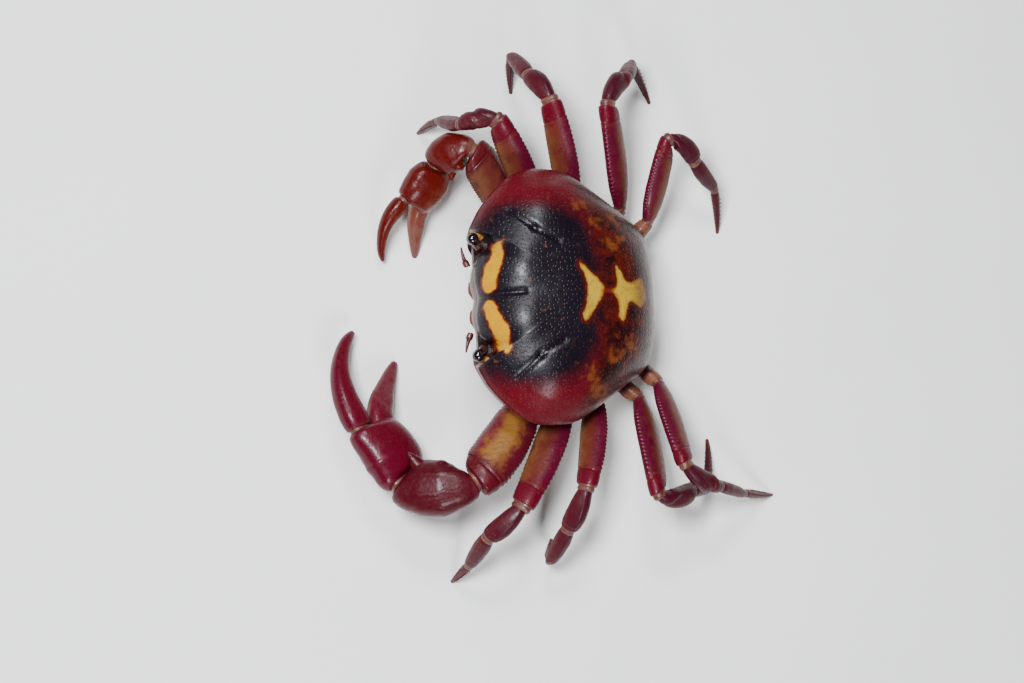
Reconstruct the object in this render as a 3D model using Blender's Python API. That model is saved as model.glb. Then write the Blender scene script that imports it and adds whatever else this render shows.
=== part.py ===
"""A still, life-size freshwater crab, with each named part of the body a solid of its own.

The shapes are worked out in millimetres and turned to metres when a mesh is made. The crab faces -Y,
its right side is at -X, and it stands on the floor z = 0 on the flats of its eight leg tips and two claws.
"""

import math
from dataclasses import dataclass

import bmesh
import bpy
from mathutils import Matrix, Vector

# Scale and clearances, in millimetres
MM = 0.001
JOINT_GAP = 0.34
HALF_GAP = JOINT_GAP / 2
ORIGIN_SHIFT = Vector((-1.03, -0.85, 0.0))

# How the body is carried: nose up, with the breast plate this high over the floor
BODY_PITCH = 9.0
BODY_LIFT = 4.2

# Carapace, in the body's own frame: x to the side, y to the rear, z up from the breast plate
CARAPACE_CENTRE = Vector((0.0, -0.5))
FRONT_LOBE = (2.8, -13.75)
HALF_OUTLINE = (
    (0.0, -13.3), FRONT_LOBE, (5.0, -13.35), (6.0, -12.75), (6.6, -11.9), (7.6, -11.55), (8.7, -12.3),
    (9.65, -13.85), (11.4, -13.2), (13.2, -12.1), (15.3, -10.2), (17.0, -8.1), (17.9, -5.8), (18.05, -3.3),
    (17.7, -0.4), (16.6, 1.9), (14.6, 5.0), (12.6, 8.0), (10.9, 10.7), (8.9, 12.6), (5.6, 13.4), (2.6, 13.6),
    (0.0, 13.65),
)
ORBIT_INNER, ORBIT_OUTER = 5.4, 9.6
FACE_LINE = -13.3
MARGIN_HEIGHT, MARGIN_CROWN, MARGIN_FALL = 10.5, -5.0, 0.0105
TOP_HEIGHT, TOP_CROWN, TOP_FALL = 16.5, -1.5, 0.006
DOME_POWER, DOME_SHOULDER = 3.0, 0.65
RIM_DROP, RIM_DEPTH, RIM_TUCK = 0.1, 0.9, 0.99
UNDERSIDE_HEIGHT = 4.7
# The walls below the rim: shares of the half width, of the length in front and behind, and of the drop
WALLS = ((0.98, 0.99, 0.975, 0.22), (0.9, 0.985, 0.94, 0.46), (0.76, 0.955, 0.88, 0.76), (0.62, 0.86, 0.8, 1.0))
OUTLINE_STEPS = 80
DORSAL_RINGS = (0.14, 0.3, 0.44, 0.56, 0.66, 0.745, 0.82, 0.88, 0.93, 0.968, 0.99)

# Swellings and furrows of the back: x, y, reach across, reach along, height
LOBES = (
    (3.6, -9.4, 2.7, 2.3, 0.75),
    (11.8, -5.0, 4.6, 4.2, 0.9),
    (0.0, -1.5, 5.0, 4.5, 0.3),
    (8.6, 4.5, 4.2, 4.5, 0.25),
)
# Each furrow runs between two points on one side of the back: x, y, x, y, half width, depth
FURROWS = (
    (0.0, -13.2, 0.0, -9.8, 0.8, 0.55),
    (11.6, -9.6, 8.8, -6.7, 0.9, 0.55),
    (8.8, -6.7, 6.9, -3.2, 0.9, 0.6),
    (3.5, 1.2, 3.4, 4.6, 0.9, 0.4),
)

# Breast plate and tail flap
STERNUM_HALF_WIDTH, STERNUM_FRONT, STERNUM_REAR = 7.3, -9.6, 11.0
STERNUM_POWER, STERNUM_TOP = 3.6, 4.3
STERNUM_POINTS = 40
# The plate's rings from below: how far each is drawn in, and its height
STERNUM_RINGS = ((1.1, 0.0), (0.3, 0.5), (0.0, 1.4), (0.0, STERNUM_TOP))
MOUTH_LINE, MOUTH_RISE = -5.8, 0.75
TAIL_STATIONS = 15
TAIL_THICKNESS = 0.9
TAIL_ROUTE = ((12.6, 4.6), (12.9, 3.2), (12.6, 1.0), (11.2, -0.85), (8.0, -0.85), (3.0, -0.85), (-2.6, -0.85))
TAIL_HALF_WIDTHS = (4.6, 5.0, 4.9, 4.4, 3.9, 2.9, 1.0)

# Eyes, feelers and mouth shields
EYE_ROOT, EYE_BALL = Vector((6.95, -12.65, 9.05)), Vector((8.15, -13.95, 10.0))
EYE_RADIUS, STALK_RADIUS = 0.86, 0.56
STALK_TABLE = ((0.0, 0.8), (0.1, 1.0), (0.4, 0.95))
EYE_TURN_FROM, EYE_TURN_TO, EYE_STEPS = -52.0, 78.0, 7
FEELER_ROOT, FEELER_TIP = Vector((4.7, -13.8, 6.9)), Vector((7.4, -14.75, 7.3))
FEELER_RADIUS, FEELER_SAG = 0.5, 0.35
FEELER_TABLE = ((0, .9), (.12, 1), (.3, .95), (.34, .72), (.6, .55), (1, .25))
SHIELD_INNER, SHIELD_OUTER, SHIELD_THICKNESS = 0.2, 3.9, 1.15
SHIELD_BACK, SHIELD_FRONT, SHIELD_DROP = -6.1, -12.4, 0.5
SHIELD_TABLE = ((0.0, .62), (.12, .9), (.35, 1.0), (.62, .98), (.66, .92), (.7, .98), (.9, .85), (1.0, .55))

# Roots of the legs on the breast plate: distance back along it, and height in the body's frame
ROOT_ALONG = {"claw": -5.0, "leg_2": -0.8, "leg_3": 3.0, "leg_4": 6.7, "leg_5": 9.6}
ROOT_HEIGHT = {"claw": 1.9, "leg_2": 1.6, "leg_3": 1.6, "leg_4": 1.7, "leg_5": 1.9}
ROOT_GAP = JOINT_GAP + 0.15

# How finely limbs are made, and how sharp a bend keeps its edge, in degrees
SIDES, LEG_SIDES, CLAW_SIDES = 12, 10, 14
JOINT_WINDOW = 0.24
SHARP_BEND = 50.0
UPRIGHT = Vector((0, 0, 1))
# How much of the direction before it each length of a limb keeps at its start
LEG_CARRIES, CLAW_CARRIES = (0.25, 0.1, 0.34, 0.12, 0.22), (0.2, 0.12, 0.36, 0.15)


@dataclass(frozen=True)
class SpineRow:
    """A row of spines along a limb: where round it, from where to where along it, how many and how big."""

    turn: float
    first: float
    last: float
    count: int
    stand: float
    lean: float
    radius: float
    sink: float


SPINE_VARIATION, SPINE_RHYTHM = 0.14, 2.4
SPINE_SIDES, SPINE_TIP, SPINE_FLOOR_GAP = 4, 0.2, 0.3
SKIN_STEPS = 8
DACTYLUS_SPINES = (
    SpineRow(turn=0.125, first=0.26, last=0.76, count=3, stand=0.36, lean=0.5, radius=0.25, sink=0.32),
    SpineRow(turn=0.375, first=0.36, last=0.66, count=2, stand=0.36, lean=0.5, radius=0.25, sink=0.32),
    SpineRow(turn=0.625, first=0.26, last=0.76, count=3, stand=0.36, lean=0.5, radius=0.25, sink=0.32),
    SpineRow(turn=0.875, first=0.36, last=0.66, count=2, stand=0.36, lean=0.5, radius=0.25, sink=0.32),
)
MERUS_TEETH = (SpineRow(turn=0.25, first=0.2, last=0.8, count=7, stand=0.3, lean=0.22, radius=0.34, sink=0.6),)
ARM_TEETH = (
    SpineRow(turn=0.25, first=0.24, last=0.8, count=7, stand=0.32, lean=0.2, radius=0.4, sink=0.7),
    SpineRow(turn=0.75, first=0.3, last=0.8, count=5, stand=0.3, lean=0.2, radius=0.38, sink=0.7),
)


@dataclass(frozen=True)
class Leg:
    """One walking leg: where its long joint starts, then length, azimuth and elevation of each joint."""

    root: str
    start: tuple
    merus: tuple
    carpus: tuple
    propodus: tuple
    dactylus: tuple
    crest_lean: float
    merus_height: float
    size: float = 1.0


WALKING_LEGS = {
    "leg_2_right": Leg("leg_2", (-12.5, -0.9, 7.0), (16.6, -151, 31.5), (5.2, -92, -33), (6.4, -128, -64),
                       (7.4, -80), 52, 2.1),
    "leg_3_right": Leg("leg_3", (-12.9, 4.0, 7.3), (17.0, -166, 25), (5.5, -152, -29), (6.5, -160, -50),
                       (7.9, 14), 50, 1.95),
    "leg_4_right": Leg("leg_4", (-13.4, 11.0, 7.5), (15.6, -170, 26), (6.4, 143, -28), (6.3, 143, -53),
                       (8.6, 42), -48, 2.0),
    "leg_5_right": Leg("leg_5", (-11.5, 15.0, 7.4), (12.4, 168, 29), (5.6, 61, -28), (7.2, 51, -44),
                       (8.2, 17), -50, 1.8, 0.95),
    "leg_2_left": Leg("leg_2", (12.6, 1.6, 7.5), (19.3, -26.7, 18.2), (6.4, -48, -23), (7.1, -29, -56),
                      (5.8, -40), 62, 2.2),
    "leg_3_left": Leg("leg_3", (13.0, 5.8, 7.2), (15.4, -13, 24), (6.6, -22, -27), (6.8, -23, -48),
                      (6.4, 157), 52, 1.85),
    "leg_4_left": Leg("leg_4", (13.9, 12.2, 7.3), (15.3, 3.3, 23), (6.8, 95, -36), (5.8, 100, -51),
                      (8.8, 166), -48, 2.05),
    "leg_5_left": Leg("leg_5", (11.9, 15.2, 7.4), (13.9, 8, 28), (7.0, 61, -30), (7.1, 80, -45),
                      (8.0, 89), -50, 1.85, 0.95),
}
LEG_WIDTH = 1.15
CARPUS_SIZE, PROPODUS_SIZE, DACTYLUS_SIZE = (1.12, 1.42), (0.95, 1.2), (0.62, 0.7)
BASE_SIZE = (1.3, 1.4)


@dataclass(frozen=True)
class Claw:
    """One claw arm. The hand's own plane is spanned by its length and by the side of its moving finger."""

    start: tuple
    elbow: tuple
    hand: tuple
    azimuth: float
    elevation: float
    lean: float
    palm: tuple
    finger: tuple
    thumb: tuple
    arm_size: tuple
    arm_lean: float
    wrist_size: tuple
    palm_size: tuple
    finger_size: tuple
    thumb_size: tuple
    teeth: int


CLAWS = {
    "left": Claw(
        start=(12.4, -3.3, 7.5), elbow=(25.3, -12.7, 11.3), hand=(24.5, -21.9, 7.0),
        azimuth=-158, elevation=-8, lean=58,
        palm=((0.0, 0.3), (4.4, 0.1), (8.9, 1.8)),
        finger=((9.2, 3.3), (13.9, 3.2), (17.9, 1.9), (21.2, -0.8), (22.9, -3.5)),
        thumb=((7.0, -0.4), (10.2, -1.3), (13.0, -3.7), (16.9, -8.2)),
        arm_size=(2.1, 3.3), arm_lean=72, wrist_size=(4.0, 3.1), palm_size=(2.8, 4.7),
        finger_size=(1.75, 2.15), thumb_size=(1.45, 2.1), teeth=6,
    ),
    "right": Claw(
        start=(-12.4, -5.15, 6.55), elbow=(-21.5, -10.7, 11.6), hand=(-20.8, -15.9, 8.0),
        azimuth=-42, elevation=-13, lean=52,
        palm=((0.0, -1.4), (3.4, -1.9), (6.7, -2.0)),
        finger=((7.02, -0.7), (9.6, -0.6), (12.0, -1.4), (14.2, -3.1), (15.5, -4.9)),
        thumb=((5.0, -3.4), (7.2, -4.3), (9.4, -6.1), (12.2, -8.9)),
        arm_size=(1.7, 2.7), arm_lean=104, wrist_size=(2.9, 2.4), palm_size=(2.2, 3.4),
        finger_size=(1.25, 1.35), thumb_size=(1.15, 1.5), teeth=5,
    ),
}
CLAW_BASE_SIZE = (1.75, 1.75)
# The inner tooth of the wrist and the blunt one behind it: place, reach out, length, radius and lean forward
WRIST_TEETH = ((0.86, 0.62, 0.75, 0.34, 0.85), (0.5, 0.8, 0.24, 0.3, 0.2))
WRIST_TOOTH_HEIGHT, WRIST_TOOTH_RISE, WRIST_TOOTH_SINK = 0.5, 0.14, 0.3
# Biting teeth: from where to where along a finger, their radii, and how far they sink and stand out
BITE_FROM, BITE_TO = 0.3, 0.8
BIG_TOOTH, SMALL_TOOTH = 0.42, 0.3
BITE_SINK, BITE_STAND = 0.25, 1.35
# A tooth narrows by these shares at these places
TOOTH_TABLE = ((0.0, 1.0), (0.6, 0.62), (1.0, 0.16))

# How each length of a limb swells along itself: place, then width, height as shares, and keel in mm
BASE_TABLE = ((0, .95, .95, 0), (.2, 1.05, 1.05, 0), (.42, 1, 1, 0), (.5, .8, .8, 0), (.6, .9, .92, 0),
              (.85, .9, .92, 0), (1, .78, .8, 0))
MERUS_TABLE = ((0, .66, .56, 0), (.08, .85, .7, .05), (.22, .97, .9, .2), (.42, 1, 1, .28),
               (.68, .98, .96, .28), (.86, .98, .88, .15), (.94, 1.06, .88, .05), (1, .95, .78, 0))
CARPUS_TABLE = ((0, .68, .62, 0), (.12, .86, .8, 0), (.35, 1, .96, .1), (.65, 1.05, 1.04, .15),
                (.88, 1.02, 1, .05), (1, .88, .86, 0))
PROPODUS_TABLE = ((0, .72, .72, 0), (.12, .92, .94, 0), (.35, 1, 1, .1), (.7, .92, .9, .1), (.9, .82, .8, 0),
                  (1, .72, .7, 0))
DACTYLUS_TABLE = ((0, .74, .74, 0), (.1, .96, .96, 0), (.3, .94, .92, 0), (.6, .74, .72, 0),
                  (.85, .54, .5, 0), (1, .42, .4, 0))
ARM_TABLE = ((0, .62, .46, 0), (.12, .8, .62, 0), (.32, .98, .88, .2), (.6, 1, 1, .3), (.84, 1, 1.0, .2),
             (.94, .99, .93, 0), (1, .84, .78, 0))
WRIST_TABLE = ((0, .48, .54, 0), (.16, .72, .77, 0), (.42, 1, 1, 0), (.68, 1, 1, 0), (.88, .9, .9, 0),
               (1, .76, .76, 0))
PALM_TABLE = ((0, .56, .58, 0), (.14, .82, .8, 0), (.38, 1, 1, 0), (.66, .98, .94, 0), (.88, .84, .82, 0),
              (1, .7, .72, 0))
FINGER_TABLE = ((0, .82, .84, 0), (.1, .98, .96, 0), (.3, .86, .8, 0), (.6, .62, .56, 0), (.85, .42, .38, 0),
                (1, .2, .17, 0))
THUMB_TABLE = ((0, 1, 1, 0), (.3, 1, .96, 0), (.6, .8, .86, 0), (.85, .52, .5, 0), (1, .28, .22, 0))

# Colours: base colour, roughness
SHELL = ("shell", (0.09, 0.008, 0.02), 0.25)
CRIMSON = ("crimson", (0.22, 0.012, 0.03), 0.35)
MAROON = ("maroon", (0.12, 0.01, 0.03), 0.5)
ORANGE_RED = ("orange_red", (0.28, 0.04, 0.03), 0.4)
TAN = ("tan", (0.5, 0.3, 0.2), 0.5)
EYE_BLACK = ("eye_black", (0.01, 0.004, 0.006), 0.1)


def material(finish):
    """The named finish, made once."""
    name, colour, roughness = finish
    found = bpy.data.materials.get(name)
    if found:
        return found
    made = bpy.data.materials.new(name)
    made.use_nodes = True
    shader = made.node_tree.nodes["Principled BSDF"]
    shader.inputs["Base Color"].default_value = (*colour, 1.0)
    shader.inputs["Roughness"].default_value = roughness
    shader.inputs["Metallic"].default_value = 0.0
    return made


def aim(azimuth, elevation):
    """The direction with this azimuth and elevation in degrees."""
    azimuth, elevation = math.radians(azimuth), math.radians(elevation)
    level = math.cos(elevation)
    return Vector((level * math.cos(azimuth), level * math.sin(azimuth), math.sin(elevation)))


def body_to_world():
    """The turn and lift that carry the body's own frame into the world."""
    return Matrix.Translation((0.0, 0.0, BODY_LIFT)) @ Matrix.Rotation(-math.radians(BODY_PITCH), 4, "X")


def smooth(points, t):
    """The point at t, from 0 to 1, on an even Catmull-Rom curve through tuples of one length."""
    last = len(points) - 1
    place = min(max(t, 0.0), 1.0) * last
    i = min(int(place), last - 1)
    f = place - i
    a, b, c, d = (points[min(max(k, 0), last)] for k in (i - 1, i, i + 1, i + 2))
    return tuple(
        0.5 * (2 * q + (r - p) * f + (2 * p - 5 * q + 4 * r - s) * f * f + (3 * q - p - 3 * r + s) * f ** 3)
        for p, q, r, s in zip(a, b, c, d)
    )


def between(table, s):
    """Rows of a table whose first entry rises, read off at s in straight lines."""
    for low, high in zip(table, table[1:]):
        if s <= high[0]:
            f = (s - low[0]) / (high[0] - low[0])
            return tuple(p + (q - p) * f for p, q in zip(low[1:], high[1:]))
    return table[-1][1:]


def add_object(name, verts, faces, finish, parent):
    """A closed mesh from points in millimetres, shaded smooth, with its faces turned outwards."""
    mesh = bpy.data.meshes.new(name)
    mesh.from_pydata([(Vector(v) + ORIGIN_SHIFT) * MM for v in verts], [], faces)
    shell = bmesh.new()
    shell.from_mesh(mesh)
    bmesh.ops.recalc_face_normals(shell, faces=shell.faces)
    shell.to_mesh(mesh)
    shell.free()
    mesh.materials.append(material(finish))
    mesh.shade_smooth()
    mesh.set_sharp_from_angle(angle=math.radians(SHARP_BEND))
    made = bpy.data.objects.new(name, mesh)
    bpy.context.scene.collection.objects.link(made)
    made.parent = parent
    return made


def skin_rings(rings):
    """Points and faces of a closed body through rings of equal count, with a fan on each end."""
    count = len(rings[0])
    verts = [point for ring in rings for point in ring]
    faces = []
    for k in range(len(rings) - 1):
        for i in range(count):
            j = (i + 1) % count
            faces.append((k * count + i, k * count + j, (k + 1) * count + j, (k + 1) * count + i))
    for k in (0, len(rings) - 1):
        hub = len(verts)
        verts.append(sum(rings[k], Vector()) / count)
        faces.extend((hub, k * count + i, k * count + (i + 1) % count) for i in range(count))
    return verts, faces


def section(centre, normal, up, width, height, keel=0.0, sides=SIDES, power=2.4):
    """One ring of a limb: an oval with flattened faces and, along its upper edge, a keel."""
    normal = normal.normalized()
    up = (up - normal * up.dot(normal)).normalized()
    side = up.cross(normal)
    ring = []
    for i in range(sides):
        angle = 2 * math.pi * i / sides
        c, s = math.cos(angle), math.sin(angle)
        x = math.copysign(abs(c) ** (2 / power), c) * width
        y = math.copysign(abs(s) ** (2 / power), s) * height
        y += keel * max(0.0, s) ** 6
        ring.append(centre + side * x + up * y)
    return ring


def fuse(main, pieces):
    """Join pieces to the main object in one union and keep its largest closed surface."""
    group = bpy.data.collections.new(main.name + " pieces")
    for piece in pieces:
        group.objects.link(piece)
    union = main.modifiers.new("union", "BOOLEAN")
    union.operation = "UNION"
    union.operand_type = "COLLECTION"
    union.collection = group
    union.solver = "EXACT"
    joined = bpy.data.meshes.new_from_object(main.evaluated_get(bpy.context.evaluated_depsgraph_get()))
    main.modifiers.clear()
    main.data = joined
    for piece in pieces:
        bpy.data.objects.remove(piece)
    bpy.data.collections.remove(group)
    keep_largest(main.data)


def keep_largest(mesh):
    """Delete every closed surface of the mesh but the one with the most room in its box."""
    shell = bmesh.new()
    shell.from_mesh(mesh)
    left, islands = set(shell.verts), []
    while left:
        island, edge = set(), [left.pop()]
        while edge:
            point = edge.pop()
            island.add(point)
            for link in point.link_edges:
                other = link.other_vert(point)
                if other in left:
                    left.discard(other)
                    edge.append(other)
        islands.append(island)

    def room(island):
        spans = [max(p.co[k] for p in island) - min(p.co[k] for p in island) for k in range(3)]
        return spans[0] * spans[1] * spans[2]

    islands.sort(key=room)
    scraps = [point for island in islands[:-1] for point in island]
    bmesh.ops.delete(shell, geom=scraps, context="VERTS")
    shell.to_mesh(mesh)
    shell.free()


class Path:
    """A smooth line from start to end that leaves along one direction and arrives along another."""

    def __init__(self, start, end, leave, arrive, pull=0.35):
        """Settle the four control points; each end keeps its direction for a share of the length."""
        reach = (end - start).length * pull
        self.points = (start, start + leave * reach, end - arrive * reach, end)

    def at(self, s):
        """The point at s, from 0 to 1."""
        a, b, c, d = self.points
        r = 1 - s
        return a * r ** 3 + b * 3 * r * r * s + c * 3 * r * s * s + d * s ** 3

    def along(self, s):
        """The direction at s."""
        a, b, c, d = self.points
        r = 1 - s
        return ((b - a) * r * r + (c - b) * 2 * r * s + (d - c) * s * s).normalized()


class Route:
    """A smooth line through points, with the same calls as a path."""

    def __init__(self, points):
        """Keep the points that the line passes through."""
        self.points = [tuple(point) for point in points]

    def at(self, s):
        """The point at s, from 0 to 1."""
        return Vector(smooth(self.points, s))

    def along(self, s):
        """The direction at s."""
        step = 0.02
        return (self.at(min(s + step, 1.0)) - self.at(max(s - step, 0.0))).normalized()


def limb_rings(path, table, size, up, first=None, last=None, stations=9, sides=SIDES, power=2.4):
    """Rings along a path. The table gives, at s: width, height and keel as shares of size.

    first and last are the normals of the two joint faces, which the nearest rings turn towards.
    """
    rings = []
    for k in range(stations):
        s = 0.5 - 0.5 * math.cos(math.pi * k / (stations - 1))
        normal = path.along(s)
        if first is not None and s < JOINT_WINDOW:
            normal = normal.lerp(first, 1 - s / JOINT_WINDOW)
        if last is not None and s > 1 - JOINT_WINDOW:
            normal = normal.lerp(last, 1 - (1 - s) / JOINT_WINDOW)
        width, height, keel = between(table, s)
        rings.append(section(path.at(s), normal, up, width * size[0], height * size[1], keel, sides, power))
    return rings


def margin_height(y):
    """Height of the carapace's edge at a distance back."""
    return MARGIN_HEIGHT - MARGIN_FALL * (y - MARGIN_CROWN) ** 2


def relief(x, y):
    """Swellings less furrows of the back at a point."""
    x = abs(x)
    height = sum(
        rise * math.exp(-((x - cx) / rx) ** 2 - ((y - cy) / ry) ** 2) for cx, cy, rx, ry, rise in LOBES
    )
    for x0, y0, x1, y1, half, depth in FURROWS:
        run = Vector((x1 - x0, y1 - y0))
        f = min(max((Vector((x - x0, y - y0)).dot(run)) / run.length_squared, 0.0), 1.0)
        away = (Vector((x - x0, y - y0)) - run * f).length
        height -= depth * math.exp(-((away / half) ** 2))
    return height


def back_height(x, y, share):
    """Height of the back over a point that lies this share of the way out to the edge."""
    margin = margin_height(y)
    top = TOP_HEIGHT - TOP_FALL * (y - TOP_CROWN) ** 2
    dome = (1 - share ** DOME_POWER) ** DOME_SHOULDER
    return margin + (top - margin) * dome + relief(x, y) * min(1.0, (1 - share) * 6)


def outline_points():
    """The carapace's edge all round from the front, as evenly spaced points."""
    half = [smooth(HALF_OUTLINE, i / 400) for i in range(401)]
    lengths = [0.0]
    for p, q in zip(half, half[1:]):
        lengths.append(lengths[-1] + math.dist(p, q))
    right, k = [], 0
    steps = OUTLINE_STEPS // 2
    for i in range(steps + 1):
        want = lengths[-1] * i / steps
        while k < len(half) - 1 and lengths[k] < want:
            k += 1
        right.append(half[k])
    return right + [(-x, y) for x, y in reversed(right[1:-1])]


def without_orbit(x, y):
    """The edge point moved out to the line that bridges the eye's notch."""
    if ORBIT_INNER < abs(x) < ORBIT_OUTER and y < -10:
        return x, min(y, FACE_LINE)
    return x, y


def make_carapace(parent):
    """Back, rounded edge, eye notches, face and the walls that curve in over the leg roots."""
    edge = outline_points()
    cx, cy = CARAPACE_CENTRE
    rings = []
    for share in DORSAL_RINGS:
        ring = []
        for x, y in edge:
            px, py = cx + (x - cx) * share, cy + (y - cy) * share
            ring.append(Vector((px, py, back_height(px, py, share))))
        rings.append(ring)
    rings.append([Vector((x, y, margin_height(y) - RIM_DROP)) for x, y in edge])
    rings.append([Vector((x * RIM_TUCK, y * RIM_TUCK, margin_height(y) - RIM_DEPTH)) for x, y in edge])
    for wide, long_front, long_rear, drop in WALLS:
        ring = []
        for x, y in edge:
            x, y = without_orbit(x, y)
            high = margin_height(y) - RIM_DEPTH
            reach = long_front if y < 0 else long_rear
            ring.append(Vector((x * wide, y * reach, high + (UNDERSIDE_HEIGHT - high) * drop)))
        rings.append(ring)
    verts, faces = skin_rings(rings)
    turn = body_to_world()
    return add_object("carapace", [turn @ v for v in verts], faces, SHELL, parent)


def sternum_half_width(y):
    """Half width of the breast plate at a distance back."""
    middle, half = (STERNUM_FRONT + STERNUM_REAR) / 2, (STERNUM_REAR - STERNUM_FRONT) / 2
    share = min(abs(y - middle) / half, 1.0)
    return STERNUM_HALF_WIDTH * (1 - share ** STERNUM_POWER) ** (1 / STERNUM_POWER)


def make_sternum(parent):
    """The breast plate, its underside rising in front to the mouth."""
    middle, half = (STERNUM_FRONT + STERNUM_REAR) / 2, (STERNUM_REAR - STERNUM_FRONT) / 2
    rings = []
    for inset, high in STERNUM_RINGS:
        ring = []
        for i in range(STERNUM_POINTS):
            angle = 2 * math.pi * i / STERNUM_POINTS
            c, s = math.cos(angle), math.sin(angle)
            x = math.copysign(abs(c) ** (2 / STERNUM_POWER), c) * (STERNUM_HALF_WIDTH - inset)
            y = middle + math.copysign(abs(s) ** (2 / STERNUM_POWER), s) * (half - inset)
            floor = max(0.0, (MOUTH_LINE - y) * MOUTH_RISE)
            ring.append(Vector((x, y, max(high, floor + high * 0.3) if high < STERNUM_TOP else high)))
        rings.append(ring)
    verts, faces = skin_rings(rings)
    turn = body_to_world()
    return add_object("sternum", [turn @ v for v in verts], faces, TAN, parent)


def make_abdomen(parent):
    """The tail flap, folded from the rear edge round under the breast plate."""
    turn = body_to_world()
    rings = []
    route = Route([(0.0, y, z) for y, z in TAIL_ROUTE])
    for k in range(TAIL_STATIONS):
        s = k / (TAIL_STATIONS - 1)
        (width,) = smooth([(w,) for w in TAIL_HALF_WIDTHS], s)
        ring = section(route.at(s), route.along(s), Vector((1, 0, 0)), TAIL_THICKNESS / 2, width,
                       sides=10, power=3.5)
        rings.append([turn @ point for point in ring])
    verts, faces = skin_rings(rings)
    return add_object("abdomen", verts, faces, TAN, parent)


def make_shield(side, name, parent):
    """One of the two outer mouth parts, flat plates that close the mouth from below."""
    turn = body_to_world()
    middle = (SHIELD_INNER + SHIELD_OUTER) / 2 * side
    half = (SHIELD_OUTER - SHIELD_INNER) / 2
    rings = []
    for s, wide in SHIELD_TABLE:
        y = SHIELD_BACK + (SHIELD_FRONT - SHIELD_BACK) * s
        floor = max(0.0, (MOUTH_LINE - y) * MOUTH_RISE)
        centre = Vector((middle, y, floor - SHIELD_THICKNESS / 2 - SHIELD_DROP))
        ring = section(centre, Vector((0, -1, MOUTH_RISE)), UPRIGHT, half * wide,
                       SHIELD_THICKNESS / 2 * (0.75 + 0.25 * wide), sides=10, power=3)
        rings.append([turn @ point for point in ring])
    verts, faces = skin_rings(rings)
    return add_object(name, verts, faces, MAROON, parent)


def make_eye(side, name, parent):
    """Stalk and eyeball in the notch between the front and the outer corner."""
    turn = body_to_world()
    root = Vector((EYE_ROOT.x * side, EYE_ROOT.y, EYE_ROOT.z))
    ball = Vector((EYE_BALL.x * side, EYE_BALL.y, EYE_BALL.z))
    line = (ball - root).normalized()
    length = (ball - root).length
    profile = [(length * s, STALK_RADIUS * share) for s, share in STALK_TABLE]
    for k in range(EYE_STEPS):
        angle = math.radians(EYE_TURN_FROM + (EYE_TURN_TO - EYE_TURN_FROM) * k / (EYE_STEPS - 1))
        profile.append((length + EYE_RADIUS * math.sin(angle), EYE_RADIUS * math.cos(angle)))
    rings = []
    for reach, radius in profile:
        ring = section(root + line * reach, line, UPRIGHT, radius, radius, sides=12, power=2)
        rings.append([turn @ point for point in ring])
    verts, faces = skin_rings(rings)
    return add_object(name, verts, faces, EYE_BLACK, parent)


def make_feeler(side, name, parent):
    """A short feeler that tapers forward from the face below the eye."""
    turn = body_to_world()
    root = Vector((FEELER_ROOT.x * side, FEELER_ROOT.y, FEELER_ROOT.z))
    tip = Vector((FEELER_TIP.x * side, FEELER_TIP.y, FEELER_TIP.z))
    line = (tip - root).normalized()
    rings = []
    for s, radius in FEELER_TABLE:
        sag = Vector((0, 0, -FEELER_SAG * math.sin(math.pi * s)))
        ring = section(root.lerp(tip, s) + sag, line, UPRIGHT, radius * FEELER_RADIUS,
                       radius * FEELER_RADIUS, sides=8, power=2)
        rings.append([turn @ point for point in ring])
    verts, faces = skin_rings(rings)
    return add_object(name, verts, faces, ORANGE_RED, parent)


def root_of(kind, side):
    """Where a leg starts beside the breast plate, and the direction that its root face looks."""
    y, z = ROOT_ALONG[kind], ROOT_HEIGHT[kind]
    x = sternum_half_width(y)
    slope = (sternum_half_width(y + 0.4) - sternum_half_width(y - 0.4)) / 0.8
    outward = Vector((side, -slope, 0.0)).normalized()
    turn = body_to_world()
    start = Vector((x * side, y, z)) + outward * ROOT_GAP
    return turn @ start, (turn.to_3x3() @ outward).normalized()


def lean_up(line, lean):
    """The direction square to a line that is turned from upright by lean degrees towards the rear."""
    up = UPRIGHT - line * line.z
    up.normalize()
    back = line.cross(up)
    if back.y < 0:
        back = -back
    return up * math.cos(math.radians(lean)) + back * math.sin(math.radians(lean))


@dataclass
class Joint:
    """A face between two lengths of a limb: its place and the direction across it."""

    place: Vector
    normal: Vector

    def before(self):
        """Where the length before the joint ends."""
        return self.place - self.normal * HALF_GAP

    def after(self):
        """Where the length after the joint starts."""
        return self.place + self.normal * HALF_GAP


def chain(points, leave, carries):
    """Directions at both ends of each length of a limb, each bent towards the one before it."""
    directions = []
    for k in range(len(points) - 1):
        line = (points[k + 1] - points[k]).normalized()
        start = line.lerp(leave, carries[k]).normalized()
        end = (line * 2 * line.dot(start) - start).normalized()
        directions.append((start, end))
        leave = end
    return directions


def joints_of(points, first_normal, directions):
    """The joint faces of a chain, the first looking along first_normal."""
    joints = [Joint(points[0], first_normal)]
    for k in range(1, len(points) - 1):
        normal = (directions[k - 1][1] + directions[k][0]).normalized()
        joints.append(Joint(points[k], normal))
    return joints


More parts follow.
